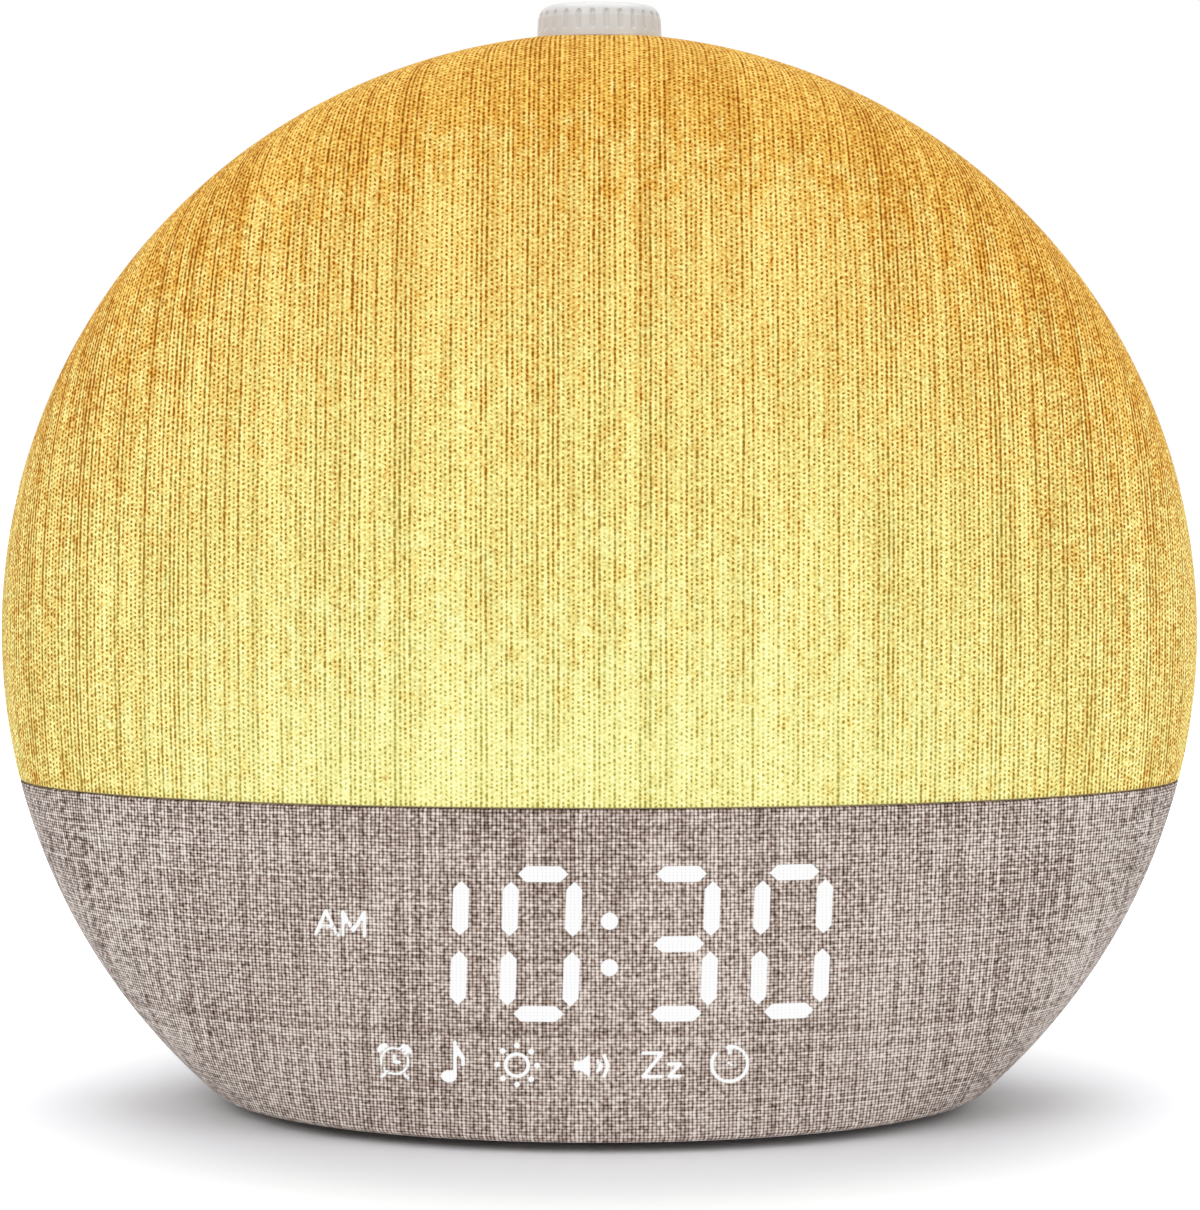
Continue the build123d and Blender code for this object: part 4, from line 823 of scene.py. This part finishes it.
print("making materials")
finishes = {
    "satinPaintedAbs": makeGrainedPlastic("satinPaintedAbs", "#DFDEDC", 0.30, grain=0.25, strength=0.03),
    "opalPolycarbonate": makeGrainedPlastic("opalPolycarbonate", "#F1EEE6", 0.45, scatter=0.3),
    "warmGreyAbs": makeGrainedPlastic("warmGreyAbs", "#9C8F86", 0.5),
    "buttonAbs": makeGrainedPlastic("buttonAbs", "#B7ACA3", 0.42),
    "blackAbs": makeGrainedPlastic("blackAbs", "#1C1B1B", 0.5),
    "blackEpoxy": makeGrainedPlastic("blackEpoxy", "#202022", 0.4, grain=0.5),
    "whitePet": makeGrainedPlastic("whitePet", "#F4F4F2", 0.55),
    "smokedAcrylic": makeGrainedPlastic("smokedAcrylic", "#3A3A3A", 0.25),
    "litAcrylic": makeLit("litAcrylic", "#F6F8FF", 0.9),
    "phosphorSilicone": makeLit("phosphorSilicone", "#F5D27A", 0.9),
    "greenFibreglass": makeBoard("greenFibreglass", "#1D5B34", "#2F7A4A"),
    "whiteFibreglass": makeBoard("whiteFibreglass", "#E9E9E4", "#D6D6CF"),
    "zincPlatedSteel": makeMetal("zincPlatedSteel", "#B9BCC0", 0.32),
    "nickelPlatedBrass": makeMetal("nickelPlatedBrass", "#CFC7B0", 0.28),
    "drawnAluminium": makeMetal("drawnAluminium", "#C9CCCF", 0.3, brush=1.0),
    "phosphatedSteel": makeMetal("phosphatedSteel", "#55585C", 0.45),
    "sinteredFerrite": makeGrainedPlastic("sinteredFerrite", "#37373A", 0.6, grain=0.6, strength=0.3),
    "mouldedRubber": makeGrainedPlastic("mouldedRubber", "#3A3633", 0.75, grain=0.5, strength=0.25),
    "pressedPaper": makeGrainedPlastic("pressedPaper", "#2B2A2A", 0.85, grain=0.9, strength=0.4),
    "flatPvcCable": makeGrainedPlastic("flatPvcCable", "#D8D6CF", 0.5),
}
nodeFinishes = {
    "satinPaintedAbs": ("knob", "knob_collar"),
    "opalPolycarbonate": ("dome_diffuser",),
    "warmGreyAbs": ("base_housing", "bottom_plate", "rear_panel"),
    "buttonAbs": ("alarm_button", "time_button", "sound_button", "sleep_button"),
    "blackAbs": ("display_mask", "light_box", "power_inlet", "button_switches", "board_connectors"),
    "blackEpoxy": ("processor_chip", "amplifier_chip", "cell_holder", "encoder_body"),
    "whitePet": ("reflector", "light_deck"),
    "smokedAcrylic": ("dark_segments",),
    "litAcrylic": ("lit_segments", "display_icons"),
    "phosphorSilicone": ("leds", "display_leds"),
    "greenFibreglass": ("main_board", "button_board", "encoder_board", "display_board"),
    "whiteFibreglass": ("led_board",),
    "zincPlatedSteel": (
        "bottom_screws", "deck_screws", "board_screws", "speaker_screws", "encoder_shaft", "radio_module",
    ),
    "nickelPlatedBrass": ("encoder_nut", "switch_plunger", "backup_cell"),
    "drawnAluminium": ("capacitors",),
    "phosphatedSteel": ("speaker_frame",),
    "sinteredFerrite": ("speaker_magnet", "power_inductor"),
    "mouldedRubber": ("foot_ring", "speaker_surround", "speaker_gasket"),
    "pressedPaper": ("speaker_cone",),
    "flatPvcCable": ("knob_cable", "light_cable", "display_cable", "speaker_cable"),
}
for finish, names in nodeFinishes.items():
    for name in names:
        nodes[name].data.materials.clear()
        nodes[name].data.materials.append(finishes[finish])

# pieces
print("making the dome sleeve")
domeSleeve = makeDomeSleeve()
domeSleeve.data.materials.append(makeGlowCloth())
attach(domeSleeve, "root")
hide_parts("dome_fabric")

print("making the base sleeve")
baseSleeve = makeBaseSleeve()
baseSleeve.data.materials.append(makeTaupeCloth())
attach(baseSleeve, "root")
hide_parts("base_fabric")

print("making the knob")
knobPiece = makeKnob()
knobPiece.data.materials.append(finishes["satinPaintedAbs"])
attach(knobPiece, "knob")
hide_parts("knob")

# floor, light and camera
setting = {
    "floorSize": 6.0,
    "floorColour": "#F3F5F9",
    # the white added for the camera is weaker near the clock, which paints a shade round it
    "lift": ((0.055, 0.105, 0.33), (0.16, 0.50, 0.67)),     # camera only: from and to in metres, how much
    "worldLevel": 0.45,
    "keyPower": 3.2, "fillPower": 1.9, "topPower": 4.6,
}


def seenDirectly(tree):
    # 1 for the camera, mirrors and clear things, 0 for light that falls on the object
    rays = addNode(tree, "LightPath")
    seen = addNode(tree, "Math MAXIMUM", rays.outputs["Is Camera Ray"], rays.outputs["Is Glossy Ray"])
    return addNode(tree, "Math MAXIMUM", seen, rays.outputs["Is Transmission Ray"])


def makeFloor():
    # a plain pale floor whose clear part reaches white in the camera's view and keeps the shadow; the white it
    # adds for the camera grows with distance from the clock, so the floor near it also carries a painted shade
    half = setting["floorSize"] / 2
    grid = np.linspace(-half, half, 9)
    across, along = np.meshgrid(grid, grid)
    points = np.stack([across, along, 0 * across], -1) / mm
    floor = buildSurface("floor", [{"points": points}])
    material, tree, shader = newMaterial("paintedStudioFloor")
    shader.inputs["Base Color"].default_value = toLinear(setting["floorColour"])
    shader.inputs["Roughness"].default_value = 0.9
    here = addNode(tree, "TexCoord").outputs["Object"]
    away = addNode(tree, "VectorMath LENGTH", here).outputs["Value"]
    # white added for the camera only, less near the clock: painted shade round it
    lift = 0.0
    for near, far, amount in setting["lift"]:
        step = addNode(tree, "MapRange SMOOTHSTEP", away, near, far, 0.0, amount)
        lift = addNode(tree, "Math ADD", step, lift)
    shown = addNode(tree, "Math MULTIPLY", seenDirectly(tree), lift)
    tree.links.new(shown.outputs[0], shader.inputs["Emission Strength"])
    shader.inputs["Emission Color"].default_value = (1, 1, 1, 1)
    floor.data.materials.append(material)


def makeLight(name, place, size, power, target=(0, 0, 0.08)):
    # a soft box that looks at the middle of the clock
    lamp = bpy.data.lights.new(name, "AREA")
    lamp.shape = "RECTANGLE"
    lamp.size, lamp.size_y, lamp.energy = size[0], size[1], power
    holder = bpy.data.objects.new(name, lamp)
    bpy.context.scene.collection.objects.link(holder)
    holder.location = place
    aim = np.array(target) - np.array(place)
    flat = math.hypot(aim[0], aim[1])
    holder.rotation_euler = (math.atan2(flat, -aim[2]), 0, math.atan2(-aim[0], aim[1]))


def makeWorld():
    # white for the camera and for mirrors, softer as a light
    world = bpy.data.worlds.new("studioWorld")
    bpy.context.scene.world = world
    world.use_nodes = True
    tree = world.node_tree
    tree.nodes.clear()
    soft = setting["worldLevel"]
    level = addNode(tree, "Math MULTIPLY_ADD", seenDirectly(tree), 1.0 - soft, soft)
    sky = addNode(tree, "Background", {"Color": (1, 1, 1, 1), "Strength": level})
    addNode(tree, "OutputWorld", {"Surface": sky})


camera = {
    "place": (0.0001, -0.570, 0.1169),
    "pitch": 0.0650,        # radians below level
    "focalPixels": 3587.0,
    "frameLongSide": 1210,
}


def makeCamera():
    # a level long lens in front, tipped down a little
    data = bpy.data.cameras.new("camera")
    data.sensor_width = 36.0
    data.lens = camera["focalPixels"] / camera["frameLongSide"] * data.sensor_width
    data.clip_start = 0.01
    holder = bpy.data.objects.new("camera", data)
    bpy.context.scene.collection.objects.link(holder)
    holder.location = camera["place"]
    holder.rotation_euler = (math.pi / 2 - camera["pitch"], 0, 0)
    bpy.context.scene.camera = holder


print("setting the stage")
makeFloor()
makeWorld()
makeLight("keyLight", (-0.55, -0.75, 0.75), (0.7, 0.7), setting["keyPower"])
makeLight("fillLight", (0.75, -0.65, 0.5), (0.7, 0.7), setting["fillPower"])
makeLight("topLight", (0.0, 0.1, 0.95), (0.9, 0.9), setting["topPower"])
makeCamera()
bpy.context.scene.view_settings.view_transform = "Standard"
